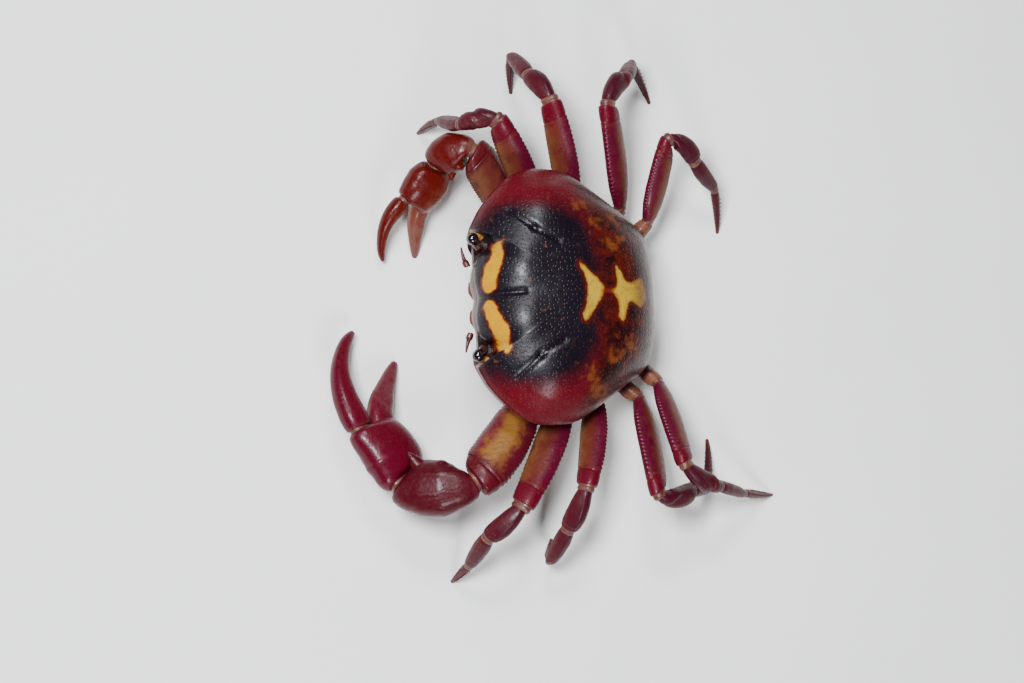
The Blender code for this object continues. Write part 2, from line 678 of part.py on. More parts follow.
def make_walking_leg(name, leg, parent):
    """Five lengths: base, merus, carpus, propodus and dactylus, whose tip ends in a flat on the floor."""
    side = 1 if leg.start[0] > 0 else -1
    root, outward = root_of(leg.root, side)
    points = [root, Vector(leg.start)]
    for length, azimuth, elevation in (leg.merus, leg.carpus, leg.propodus):
        points.append(points[-1] + aim(azimuth, elevation) * length)
    length, azimuth = leg.dactylus
    ankle = points[-1]
    elevation = -math.degrees(math.asin(min(ankle.z / length, 0.98)))
    tip = ankle + aim(azimuth, elevation) * length
    points.append(Vector((tip.x, tip.y, 0.0)))
    directions = chain(points, outward, LEG_CARRIES)
    joints = joints_of(points, outward, directions)
    merus_line = (points[2] - points[1]).normalized()
    crest = lean_up(merus_line, leg.crest_lean)
    parts = (
        ("base", BASE_TABLE, BASE_SIZE, TAN, 7, ()),
        ("merus", MERUS_TABLE, (LEG_WIDTH, leg.merus_height), CRIMSON, 9, MERUS_TEETH),
        ("carpus", CARPUS_TABLE, CARPUS_SIZE, MAROON, 8, ()),
        ("propodus", PROPODUS_TABLE, PROPODUS_SIZE, MAROON, 8, ()),
        ("dactylus", DACTYLUS_TABLE, DACTYLUS_SIZE, CRIMSON, 8, DACTYLUS_SPINES),
    )
    for k, (part, table, size, finish, stations, rows) in enumerate(parts):
        start = joints[k].place if k == 0 else joints[k].after()
        ending = part == "dactylus"
        end = points[k + 1] if ending else joints[k + 1].before()
        last = Vector((0, 0, -1)) if ending else joints[k + 1].normal
        path = Path(start, end, *directions[k])
        scaled = (size[0] * leg.size, size[1] * (1.0 if part == "merus" else leg.size))
        rings = limb_rings(path, table, scaled, crest, joints[k].normal, last, stations, LEG_SIDES)
        made = add_object(f"{name}_{part}", *skin_rings(rings), finish, parent)
        if rows:
            fuse(made, spines(rows, path, table, scaled, crest, finish, parent))


def spines(rows, path, table, size, up, finish, parent):
    """Spines on a limb, each from a root sunk in its skin, and none where it would touch the floor."""
    made = []
    for row in rows:
        for k in range(row.count):
            s = row.first + (row.last - row.first) * k / max(row.count - 1, 1)
            centre, along = path.at(s), path.along(s)
            width, height, keel = between(table, s)
            ring = section(centre, along, up, width * size[0], height * size[1], keel, SKIN_STEPS)
            skin = ring[round(row.turn * SKIN_STEPS)]
            out = (skin - centre).normalized()
            swell = 1 + SPINE_VARIATION * math.sin(SPINE_RHYTHM * k + SKIN_STEPS * row.turn)
            tip = skin + (out * row.stand + along * row.lean) * swell
            if tip.z < SPINE_FLOOR_GAP:
                continue
            root = skin - out * row.sink
            line = tip - root
            wide, narrow = row.radius * swell, row.radius * SPINE_TIP
            verts, faces = skin_rings([
                section(root, line, along, wide, wide, sides=SPINE_SIDES, power=2),
                section(tip, line, along, narrow, narrow, sides=SPINE_SIDES, power=2),
            ])
            made.append(add_object(f"spine {len(made)}", verts, faces, finish, parent))
    return made


def cone(root, tip, radius, up, sides=6):
    """A small tooth from a sunk root to a blunt tip, as points and faces."""
    line = (tip - root).normalized()
    rings = []
    for s, share in TOOTH_TABLE:
        rings.append(section(root.lerp(tip, s), line, up, radius * share, radius * share, sides=sides, power=2))
    return skin_rings(rings)


def cutting_teeth(path, table, size, biting, count, name, parent):
    """Blunt teeth along the biting edge of a finger, uneven in size as real ones are."""
    across, into = biting
    teeth = []
    for k in range(count):
        s = BITE_FROM + (BITE_TO - BITE_FROM) * k / max(count - 1, 1)
        _, height, _ = between(table, s)
        edge = path.at(s) + into * (height * size[1] - BITE_SINK)
        big = BIG_TOOTH if k % 3 == 1 else SMALL_TOOTH
        verts, faces = cone(edge - into * BITE_SINK, edge + into * big * BITE_STAND, big, across)
        teeth.append(add_object(f"{name} tooth {k}", verts, faces, CRIMSON, parent))
    return teeth


def make_claw(side_name, claw, parent):
    """Base, arm, wrist with its tooth, palm with the fixed thumb, and the moving finger."""
    side = 1 if side_name == "left" else -1
    root, outward = root_of("claw", side)
    hand = Vector(claw.hand)
    length_way = aim(claw.azimuth, claw.elevation)
    up = (UPRIGHT - length_way * length_way.z).normalized()
    front = length_way.cross(up)
    front = -front if front.y > 0 else front
    lean = math.radians(claw.lean)
    finger_side = up * math.cos(lean) + front * math.sin(lean)
    across = length_way.cross(finger_side)

    def in_hand(point):
        """A point given along the hand and towards its finger, in the world."""
        return hand + length_way * point[0] + finger_side * point[1]

    palm_route = [in_hand(point) for point in claw.palm]
    points = [root, Vector(claw.start), Vector(claw.elbow), palm_route[0], palm_route[-1]]
    directions = chain(points, outward, CLAW_CARRIES)
    joints = joints_of(points, outward, directions)
    arm_line = (points[2] - points[1]).normalized()
    name = f"claw_{side_name}"

    path = Path(joints[0].place, joints[1].before(), *directions[0])
    rings = limb_rings(path, BASE_TABLE, CLAW_BASE_SIZE, UPRIGHT, outward, joints[1].normal, 7)
    add_object(f"{name}_base", *skin_rings(rings), TAN, parent)

    path = Path(joints[1].after(), joints[2].before(), *directions[1])
    crest = lean_up(arm_line, claw.arm_lean)
    rings = limb_rings(path, ARM_TABLE, claw.arm_size, crest, joints[1].normal, joints[2].normal, 10)
    arm = add_object(f"{name}_arm", *skin_rings(rings), CRIMSON, parent)
    fuse(arm, spines(ARM_TEETH, path, ARM_TABLE, claw.arm_size, crest, CRIMSON, parent))

    path = Path(joints[2].after(), joints[3].before(), *directions[2])
    faces_at = joints[2].normal, joints[3].normal
    rings = limb_rings(path, WRIST_TABLE, claw.wrist_size, UPRIGHT, *faces_at, 10, CLAW_SIDES)
    wrist = add_object(f"{name}_wrist", *skin_rings(rings), CRIMSON, parent)
    fuse(wrist, wrist_teeth(name, claw, path, side, parent))

    palm_route[0] = joints[3].after()
    path = Route(palm_route)
    faces_at = joints[3].normal, length_way
    rings = limb_rings(path, PALM_TABLE, claw.palm_size, finger_side, *faces_at, 10, CLAW_SIDES)
    palm = add_object(f"{name}_palm", *skin_rings(rings), CRIMSON, parent)
    thumb_path = Route([in_hand(point) for point in claw.thumb])
    rings = limb_rings(thumb_path, THUMB_TABLE, claw.thumb_size, finger_side, stations=10)
    verts, faces = skin_rings(rings)
    thumb = add_object(f"{name} thumb", verts, faces, CRIMSON, parent)
    biting = (across, finger_side)
    teeth = cutting_teeth(thumb_path, THUMB_TABLE, claw.thumb_size, biting, claw.teeth, name, parent)
    fuse(palm, [thumb, *teeth])
    lay_on_floor(palm)

    finger_path = Route([in_hand(point) for point in claw.finger])
    rings = limb_rings(finger_path, FINGER_TABLE, claw.finger_size, finger_side, length_way, stations=12)
    finger = add_object(f"{name}_finger", *skin_rings(rings), CRIMSON, parent)
    biting = (across, -finger_side)
    teeth = cutting_teeth(finger_path, FINGER_TABLE, claw.finger_size, biting, claw.teeth, name, parent)
    fuse(finger, teeth)
    lay_on_floor(finger)


def wrist_teeth(name, claw, path, side, parent):
    """The sharp inner tooth of the wrist and the blunt one behind it."""
    reach, thick = claw.wrist_size
    teeth = []
    for s, out, length, radius, forward in WRIST_TEETH:
        line = path.along(s)
        level = Vector((line.x, line.y, 0)).normalized()
        inward = Vector((-side, 0, 0))
        inward = (inward - level * inward.dot(level)).normalized()
        start = path.at(s) + inward * reach * out + UPRIGHT * thick * WRIST_TOOTH_HEIGHT
        run = (level * forward + inward * 0.5) * reach * length + UPRIGHT * thick * WRIST_TOOTH_RISE
        verts, faces = cone(start - run * WRIST_TOOTH_SINK, start + run, reach * radius, UPRIGHT, 8)
        teeth.append(add_object(f"{name} wrist tooth {s}", verts, faces, CRIMSON, parent))
    return teeth


def lay_on_floor(made):
    """Press whatever reaches below the floor flat on to it."""
    for vertex in made.data.vertices:
        vertex.co.z = max(vertex.co.z, 0.0)


def clear_scene():
    """Remove what the file opened with."""
    for thing in list(bpy.data.objects):
        bpy.data.objects.remove(thing)


def main():
    """Build every part of the crab under one empty."""
    clear_scene()
    crab = bpy.data.objects.new("crab", None)
    bpy.context.scene.collection.objects.link(crab)
    make_carapace(crab)
    make_sternum(crab)
    make_abdomen(crab)
    for side, word in ((-1, "right"), (1, "left")):
        make_shield(side, f"mouth_shield_{word}", crab)
        make_eye(side, f"eye_{word}", crab)
        make_feeler(side, f"feeler_{word}", crab)
    for word, claw in CLAWS.items():
        make_claw(word, claw, crab)
    for name, leg in WALKING_LEGS.items():
        make_walking_leg(name, leg, crab)


main()
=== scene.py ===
"""The looks of a still, life-size freshwater crab that stands on a pale studio floor.

Every shape is worked out in millimetres in the crab's own frame and turned to metres when its mesh is
made. The crab faces -Y, its right side is at -X, and the floor is z = 0. The sizes are the solid
model's own, so each shell lies where the solid that it stands for lies, and adds the finer forms.
"""

import logging
import math
from dataclasses import dataclass, field
from enum import Enum
from typing import Callable, Iterable, Sequence

import bmesh
import bpy
import numpy as np
from mathutils import Matrix, Vector


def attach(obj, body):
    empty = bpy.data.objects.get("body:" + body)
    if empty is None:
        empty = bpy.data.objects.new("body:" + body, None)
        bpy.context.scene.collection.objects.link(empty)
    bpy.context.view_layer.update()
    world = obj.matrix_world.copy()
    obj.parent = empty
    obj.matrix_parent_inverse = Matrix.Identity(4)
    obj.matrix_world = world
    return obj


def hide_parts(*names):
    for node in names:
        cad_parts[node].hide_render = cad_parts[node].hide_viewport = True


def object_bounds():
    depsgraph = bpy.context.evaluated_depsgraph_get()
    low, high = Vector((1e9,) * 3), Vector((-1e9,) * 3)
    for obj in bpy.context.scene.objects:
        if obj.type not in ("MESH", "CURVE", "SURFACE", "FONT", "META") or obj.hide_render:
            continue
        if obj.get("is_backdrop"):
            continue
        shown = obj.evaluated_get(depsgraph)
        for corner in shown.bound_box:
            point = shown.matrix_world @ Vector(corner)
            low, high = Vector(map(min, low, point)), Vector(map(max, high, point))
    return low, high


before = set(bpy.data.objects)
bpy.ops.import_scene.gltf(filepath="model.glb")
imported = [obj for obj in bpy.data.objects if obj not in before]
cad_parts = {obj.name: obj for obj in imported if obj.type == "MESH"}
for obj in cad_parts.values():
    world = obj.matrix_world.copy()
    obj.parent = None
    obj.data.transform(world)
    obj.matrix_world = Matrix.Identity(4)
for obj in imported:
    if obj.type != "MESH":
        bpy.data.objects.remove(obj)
CAD_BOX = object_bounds()
LOG = logging.getLogger("crab")

Colour = tuple[float, float, float]
Point2 = tuple[float, float]
Row = tuple[float, ...]
Relief = Callable[[np.ndarray, np.ndarray, np.ndarray], np.ndarray]
Socket = bpy.types.NodeSocket
Value = Socket | float
Paint = Socket | Colour

# Scale, clearances and how the body is carried, in millimetres and degrees
MM = 0.001
JOINT_GAP = 0.34
HALF_GAP = JOINT_GAP / 2
ORIGIN_SHIFT = Vector((-1.03, -0.85, 0.0))
BODY_PITCH = 9.0
BODY_LIFT = 4.2
UPRIGHT = Vector((0.0, 0.0, 1.0))
BODY_TURN = Matrix.Translation((0.0, 0.0, BODY_LIFT)) @ Matrix.Rotation(-math.radians(BODY_PITCH), 4, "X")


class Side(Enum):
    """The crab's own left and right."""

    RIGHT = -1
    LEFT = 1

    @property
    def word(self) -> str:
        """The side's name as the nodes spell it."""
        return self.name.lower()


class Part(Enum):
    """The lengths of a walking leg, from the body out."""

    BASE = "base"
    MERUS = "merus"
    CARPUS = "carpus"
    PROPODUS = "propodus"
    DACTYLUS = "dactylus"


def aim(azimuth: float, elevation: float) -> Vector:
    """The unit direction with this azimuth and elevation.

    Args:
        azimuth: Degrees from +X towards +Y.
        elevation: Degrees above the level.

    Returns:
        The direction.
    """
    turn, rise = math.radians(azimuth), math.radians(elevation)
    return Vector((math.cos(rise) * math.cos(turn), math.cos(rise) * math.sin(turn), math.sin(rise)))


def smooth(points: Sequence[Row], t: float) -> Row:
    """The point at t on an even Catmull-Rom curve.

    Args:
        points: Tuples of one length that the curve passes through.
        t: Place along the curve, from 0 to 1.

    Returns:
        The point, as long as the tuples are.
    """
    last = len(points) - 1
    place = min(max(t, 0.0), 1.0) * last
    i = min(int(place), last - 1)
    f = place - i
    a, b, c, d = (points[min(max(k, 0), last)] for k in (i - 1, i, i + 1, i + 2))
    return tuple(
        0.5 * (2 * q + (r - p) * f + (2 * p - 5 * q + 4 * r - s) * f * f + (3 * q - p - 3 * r + s) * f**3)
        for p, q, r, s in zip(a, b, c, d)
    )


def between(table: Sequence[Row], s: float) -> Row:
    """A table's row at s, read off in straight lines.

    Args:
        table: Rows whose first entry rises.
        s: The place to read.

    Returns:
        The other entries of the row at s.
    """
    for low, high in zip(table, table[1:]):
        if s <= high[0]:
            f = max(s - low[0], 0.0) / (high[0] - low[0])
            return tuple(p + (q - p) * f for p, q in zip(low[1:], high[1:]))
    return tuple(table[-1][1:])


def profile(table: Sequence[Row], s: float, blur: float = 0.035) -> Row:
    """A table's row at s with its corners rounded off.

    Args:
        table: Rows whose first entry rises.
        s: The place to read.
        blur: How far to each side the rows are averaged.

    Returns:
        The other entries of the row at s.
    """
    reach = min(blur, s, 1.0 - s)
    rows = [between(table, s + reach * k / 3) for k in (-3, -2, -1, 0, 1, 2, 3)]
    return tuple(sum(row[i] for row in rows) / len(rows) for i in range(len(rows[0])))


def from_run(points: np.ndarray, a: np.ndarray, b: np.ndarray) -> np.ndarray:
    """Distance of plane points from a straight run.

    Args:
        points: Plane points, one a row.
        a: Where the run starts.
        b: Where it ends.

    Returns:
        Millimetres from the run.
    """
    run = b - a
    f = np.clip(((points - a) @ run) / max(run @ run, 1e-12), 0, 1)
    return np.hypot(*(points - a - f[:, None] * run).T)


def to_polygon(points: np.ndarray, corners: Sequence[Point2]) -> np.ndarray:
    """Distance of plane points from a closed smooth outline.

    Args:
        points: Plane points, one a row.
        corners: The outline's corners in order.

    Returns:
        Millimetres from the outline, positive inside it.
    """
    count = 96
    ring = np.array([smooth(list(corners) + [corners[0]], k / count) for k in range(count)])
    nearest = np.full(len(points), 1e9)
    inside = np.zeros(len(points), bool)
    for a, b in zip(ring, np.roll(ring, -1, axis=0)):
        nearest = np.minimum(nearest, from_run(points, a, b))
        if a[1] != b[1]:
            crosses = (a[1] > points[:, 1]) != (b[1] > points[:, 1])
            at = a[0] + (points[:, 1] - a[1]) * (b[0] - a[0]) / (b[1] - a[1])
            inside ^= crosses & (points[:, 0] < at)
    return np.where(inside, nearest, -nearest)


def to_line(points: np.ndarray, line: Sequence[Point2]) -> np.ndarray:
    """Distance of plane points from an open line."""
    runs = zip(np.array(line[:-1]), np.array(line[1:]))
    return np.min([from_run(points, a, b) for a, b in runs], axis=0)


def ramp(values: np.ndarray, low: float, high: float) -> np.ndarray:
    """A soft step from 0 at low to 1 at high."""
    f = np.clip((values - low) / (high - low), 0.0, 1.0)
    return f * f * (3 - 2 * f)


def span(values: np.ndarray, low: float, full: float, fade: float, gone: float) -> np.ndarray:
    """A soft step up from low to full and down again from fade to gone."""
    return ramp(values, low, full) * (1 - ramp(values, fade, gone))


def bell(values: np.ndarray, middle: float, width: float) -> np.ndarray:
    """A hump of height 1 round the middle."""
    return np.exp(-(((values - middle) / width) ** 2))


def saw_teeth(s: np.ndarray, count: int, lean: float) -> np.ndarray:
    """Teeth of height 1 along s, each of which rises over the share lean of its length."""
    saw = (s * count) % 1.0
    return np.where(saw < lean, saw / lean, (1 - saw) / (1 - lean))


def circle(count: int) -> tuple[np.ndarray, np.ndarray]:
    """The cosines and sines of evenly spaced turns."""
    angles = 2 * math.pi * np.arange(count) / count
    return np.cos(angles), np.sin(angles)


def squared(values: np.ndarray, power: float) -> np.ndarray:
    """Cosines or sines bent towards a square, where a power of 2 keeps the circle."""
    return np.sign(values) * np.abs(values) ** (2 / power)


def hoop(centre: Sequence[float], across: Vector, x: np.ndarray, up: Vector, y: np.ndarray) -> np.ndarray:
    """A ring's points in space, from their distances across and up from its centre."""
    return np.array(centre) + np.outer(x, across) + np.outer(y, up)


def upright_to(line: Vector) -> Vector:
    """The steepest direction square to a line."""
    return (UPRIGHT - line * line.z).normalized()


def placed(name: str, data: bpy.types.ID) -> bpy.types.Object:
    """An object of some data, linked to the scene.

    Args:
        name: The object's name.
        data: Its mesh, light or camera.

    Returns:
        The object.
    """
    made = bpy.data.objects.new(name, data)
    bpy.context.scene.collection.objects.link(made)
    return made


def face_out(mesh: bpy.types.Mesh) -> None:
    """Turn every face of a mesh of closed bodies to look out.

    Args:
        mesh: The mesh, which is changed in place.
    """
    work = bmesh.new()
    work.from_mesh(mesh)
    bmesh.ops.recalc_face_normals(work, faces=work.faces)
    work.to_mesh(mesh)
    work.free()


@dataclass
class Mesh:
    """A mesh in the making: points in millimetres, faces, and one value a point for each named field."""

    points: np.ndarray
    faces: list[tuple[int, ...]]
    fields: dict[str, np.ndarray] = field(default_factory=dict)

    def in_body(self) -> "Mesh":
        """The mesh carried from the body's own frame into the crab's.

        Returns:
            The same mesh.
        """
        turn = np.array(BODY_TURN)
        self.points = self.points @ turn[:3, :3].T + turn[:3, 3]
        return self

    def on_floor(self) -> "Mesh":
        """The mesh with nothing below the floor.

        Returns:
            The same mesh.
        """
        self.points[:, 2] = np.maximum(self.points[:, 2], 0.0)
        return self

    def make(self, name: str, finish: bpy.types.Material, sharp: float = 60.0) -> bpy.types.Object:
        """A Blender object of the mesh, in metres and inside the solid model's box.

        Args:
            name: The object's name.
            finish: Its material.
            sharp: Edges that bend more than this many degrees stay sharp.

        Returns:
            The object, linked to the scene.
        """
        mesh = bpy.data.meshes.new(name)
        shifted = (self.points + np.array(ORIGIN_SHIFT)) * MM
        shifted = np.clip(shifted, np.array(CAD_BOX[0]), np.array(CAD_BOX[1]))
        mesh.from_pydata(shifted.tolist(), [], self.faces)
        mesh.validate()
        face_out(mesh)
        for key, values in self.fields.items():
            layer = mesh.attributes.new(key, "FLOAT", "POINT")
            layer.data.foreach_set("value", np.asarray(values, np.float32))
        mesh.materials.append(finish)
        mesh.shade_smooth()
        mesh.set_sharp_from_angle(angle=math.radians(sharp))
        return placed(name, mesh)


def grid_faces(rows: int, count: int, start: int = 0) -> list[tuple[int, ...]]:
    """Four-sided faces between closed rings that follow one another.

    Args:
        rows: How many rings there are.
        count: Points in a ring.
        start: Index of the first ring's first point.

    Returns:
        The faces, looking out where the rings run anticlockwise about their way.
    """
    faces = []
    for k in range(rows - 1):
        low, high = start + k * count, start + (k + 1) * count
        for i in range(count):
            j = (i + 1) % count
            faces.append((low + i, low + j, high + j, high + i))
    return faces


def skin(rings: np.ndarray, fields: dict[str, np.ndarray] | None = None) -> Mesh:
    """A closed body through rings, with a fan of faces on each end.

    Args:
        rings: Points by ring, place in the ring and axis.
        fields: For each name, a value for each ring and place.

    Returns:
        The mesh.
    """
    rows, count, _ = rings.shape
    points = rings.reshape(-1, 3)
    faces = grid_faces(rows, count)
    hubs = np.array([rings[0].mean(0), rings[-1].mean(0)])
    first, last = rows * count, rows * count + 1
    for i in range(count):
        j = (i + 1) % count
        faces.append((first, j, i))
        faces.append((last, (rows - 1) * count + i, (rows - 1) * count + j))
    spread = {}
    for name, values in (fields or {}).items():
        values = np.broadcast_to(values, (rows, count)).astype(float)
        spread[name] = np.concatenate([values.reshape(-1), [values[0].mean(), values[-1].mean()]])
    return Mesh(np.vstack([points, hubs]), faces, spread)


def show(piece: bpy.types.Object, slot: str, *nodes: str) -> bpy.types.Object:
    """Set a finished piece on the crab: it rides with the body and stands for solid nodes.

    Args:
        piece: The finished object.
        slot: A material slot's name, which is not used.
        *nodes: The solid nodes that it takes the place of.

    Returns:
        The piece.
    """
    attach(piece, "root")
    if nodes:
        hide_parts(*nodes)
    LOG.info("%s: %d faces", piece.name, len(piece.data.polygons))
    return piece


class Path:
    """A smooth line from start to end that leaves along one direction and arrives along another."""

    def __init__(self, start: Vector, end: Vector, leave: Vector, arrive: Vector, pull: float = 0.35) -> None:
        """Settle the line's four control points.

        Args:
            start: Where it starts.
            end: Where it ends.
            leave: Its direction at the start.
            arrive: Its direction at the end.
            pull: How far each end keeps its direction, as a share of the length.
        """
        reach = (end - start).length * pull
        self.points = (start, start + leave * reach, end - arrive * reach, end)

    def at(self, s: float) -> Vector:
        """The point at s, from 0 to 1."""
        (a, b, c, d), r = self.points, 1 - s
        return a * r**3 + b * 3 * r * r * s + c * 3 * r * s * s + d * s**3

    def along(self, s: float) -> Vector:
        """The direction at s."""
        (a, b, c, d), r = self.points, 1 - s
        return ((b - a) * r * r + (c - b) * 2 * r * s + (d - c) * s * s).normalized()


class Route:
    """A smooth line through points, with the same calls as a path."""

    def __init__(self, points: Iterable[Sequence[float]]) -> None:
        """Keep the points that the line passes through."""
        self.points = [tuple(point) for point in points]

    def at(self, s: float) -> Vector:
        """The point at s, from 0 to 1."""
        return Vector(smooth(self.points, s))

    def along(self, s: float) -> Vector:
        """The direction at s."""
        step = 0.02
        return (self.at(min(s + step, 1.0)) - self.at(max(s - step, 0.0))).normalized()


@dataclass
class Tube:
    """A limb's length: a line, how it swells along itself, and the joint faces at its ends.

    Relief is a function of the place along, the cosine and the sine round the ring, and gives the
    millimetres that the surface stands out there.
    """

    line: Path | Route
    table: Sequence[Row]
    size: Point2
    up: Vector
    first: Vector | None = None
    last: Vector | None = None
    power: float = 2.4
    window: float = 0.24
    blur: float = 0.035

    def frame(self, s: float) -> tuple[Vector, Vector, Vector]:
        """How the ring at s stands.

        Args:
            s: Place along.

        Returns:
            The ring's normal, upward and sideways directions.
        """
        normal = self.line.along(s)
        if self.first is not None and s < self.window:
            normal = normal.lerp(self.first, 1 - s / self.window)
        if self.last is not None and s > 1 - self.window:
            normal = normal.lerp(self.last, 1 - (1 - s) / self.window)
        normal.normalize()
        up = (self.up - normal * self.up.dot(normal)).normalized()
        return normal, up, up.cross(normal)

    def surface(self, s: float, angle: float, out: float = 0.0) -> tuple[Vector, Vector]:
        """A point of the skin and the direction out of it.

        Args:
            s: Place along.
            angle: Radians round the ring, with the crest at a quarter turn.
            out: Millimetres above the skin.

        Returns:
            The point and the outward direction.
        """
        _, up, side = self.frame(s)
        c, n = math.cos(angle), math.sin(angle)
        width, height, keel = profile(self.table, s, self.blur)
        x = math.copysign(abs(c) ** (2 / self.power), c) * width * self.size[0]
        y = math.copysign(abs(n) ** (2 / self.power), n) * height * self.size[1] + keel * max(0.0, n) ** 6
        outward = (side * (c / self.size[0]) + up * (n / self.size[1])).normalized()
        return self.line.at(s) + side * x + up * y + outward * out, outward

    def mesh(self, stations: int, sides: int, relief: Relief | None = None, ends: float = 0.35) -> Mesh:
        """The closed skin of the length, with its ends rounded over.

        Args:
            stations: Rings along it.
            sides: Points in a ring.
            relief: The finer forms on the surface.
            ends: Radius in millimetres that rounds the rims at both ends.

        Returns:
            The mesh, with the fields along, crest and face.
        """
        c, n = circle(sides)
        wide, high = squared(c, self.power), squared(n, self.power)
        length = (self.line.at(1.0) - self.line.at(0.0)).length
        lip = min(ends / max(length, 0.1), 0.2)
        steps = [lip * (1 - math.cos(math.pi / 2 * k / 5)) * 0.999 for k in range(5)]
        middle = [lip + (1 - 2 * lip) * k / (stations - 1) for k in range(stations)]
        places = np.array(steps + middle + [1 - s for s in reversed(steps)])
        rings = np.zeros((len(places), sides, 3))
        for k, s in enumerate(places):
            _, up, side = self.frame(s)
            width, height, keel = profile(self.table, s, self.blur)
            edge = min(min(s, 1 - s) / lip, 1.0)
            sunk = ends * (1 - math.sqrt(max(0.0, 1 - (1 - edge) ** 2)))
            pull = max(1 - sunk / min(width * self.size[0], height * self.size[1]), 0.3)
            x = wide * width * self.size[0] * pull
            y = (high * height * self.size[1] + keel * np.maximum(0.0, n) ** 6) * pull
            rings[k] = hoop(self.line.at(s), side, x, up, y)
            if relief is not None:
                out = np.outer(c / self.size[0], side) + np.outer(n / self.size[1], up)
                out /= np.linalg.norm(out, axis=1)[:, None]
                rings[k] += out * relief(np.full(sides, s), c, n)[:, None]
        return skin(rings, {"along": places[:, None], "crest": n, "face": c})


def cone(root: Vector, tip: Vector, radius: float, sides: int = 8) -> Mesh:
    """A small spine or tooth from a sunk root to a blunt tip.

    Args:
        root: Where it starts, below the skin.
        tip: Where it ends.
        radius: Its radius at the root.
        sides: Points in a ring.

    Returns:
        The mesh, with the field spine at 1 on the tip and 0 on the root.
    """
    line = (tip - root).normalized()
    aside = line.orthogonal().normalized()
    c, n = circle(sides)
    ring = hoop((0, 0, 0), aside, c, line.cross(aside), n)
    taper = ((0, 1), (0.3, 0.88), (0.55, 0.66), (0.78, 0.42), (0.93, 0.2), (1, 0.06))
    rings = [np.array(root.lerp(tip, s)) + ring * radius * share for s, share in taper]
    return skin(np.array(rings), {"spine": np.array([[s] for s, _ in taper])})


def merged(meshes: Sequence[Mesh]) -> Mesh:
    """Many meshes as one.

    Args:
        meshes: The meshes, whose fields count as 0 where they are missing.

    Returns:
        The joined mesh.
    """
    faces, start = [], 0
    for mesh in meshes:
        faces += [tuple(int(i + start) for i in face) for face in mesh.faces]
        start += len(mesh.points)
    names = {name for mesh in meshes for name in mesh.fields}
    fields = {
        name: np.concatenate([mesh.fields.get(name, np.zeros(len(mesh.points))) for mesh in meshes])
        for name in names
    }
    return Mesh(np.vstack([mesh.points for mesh in meshes]), faces, fields)


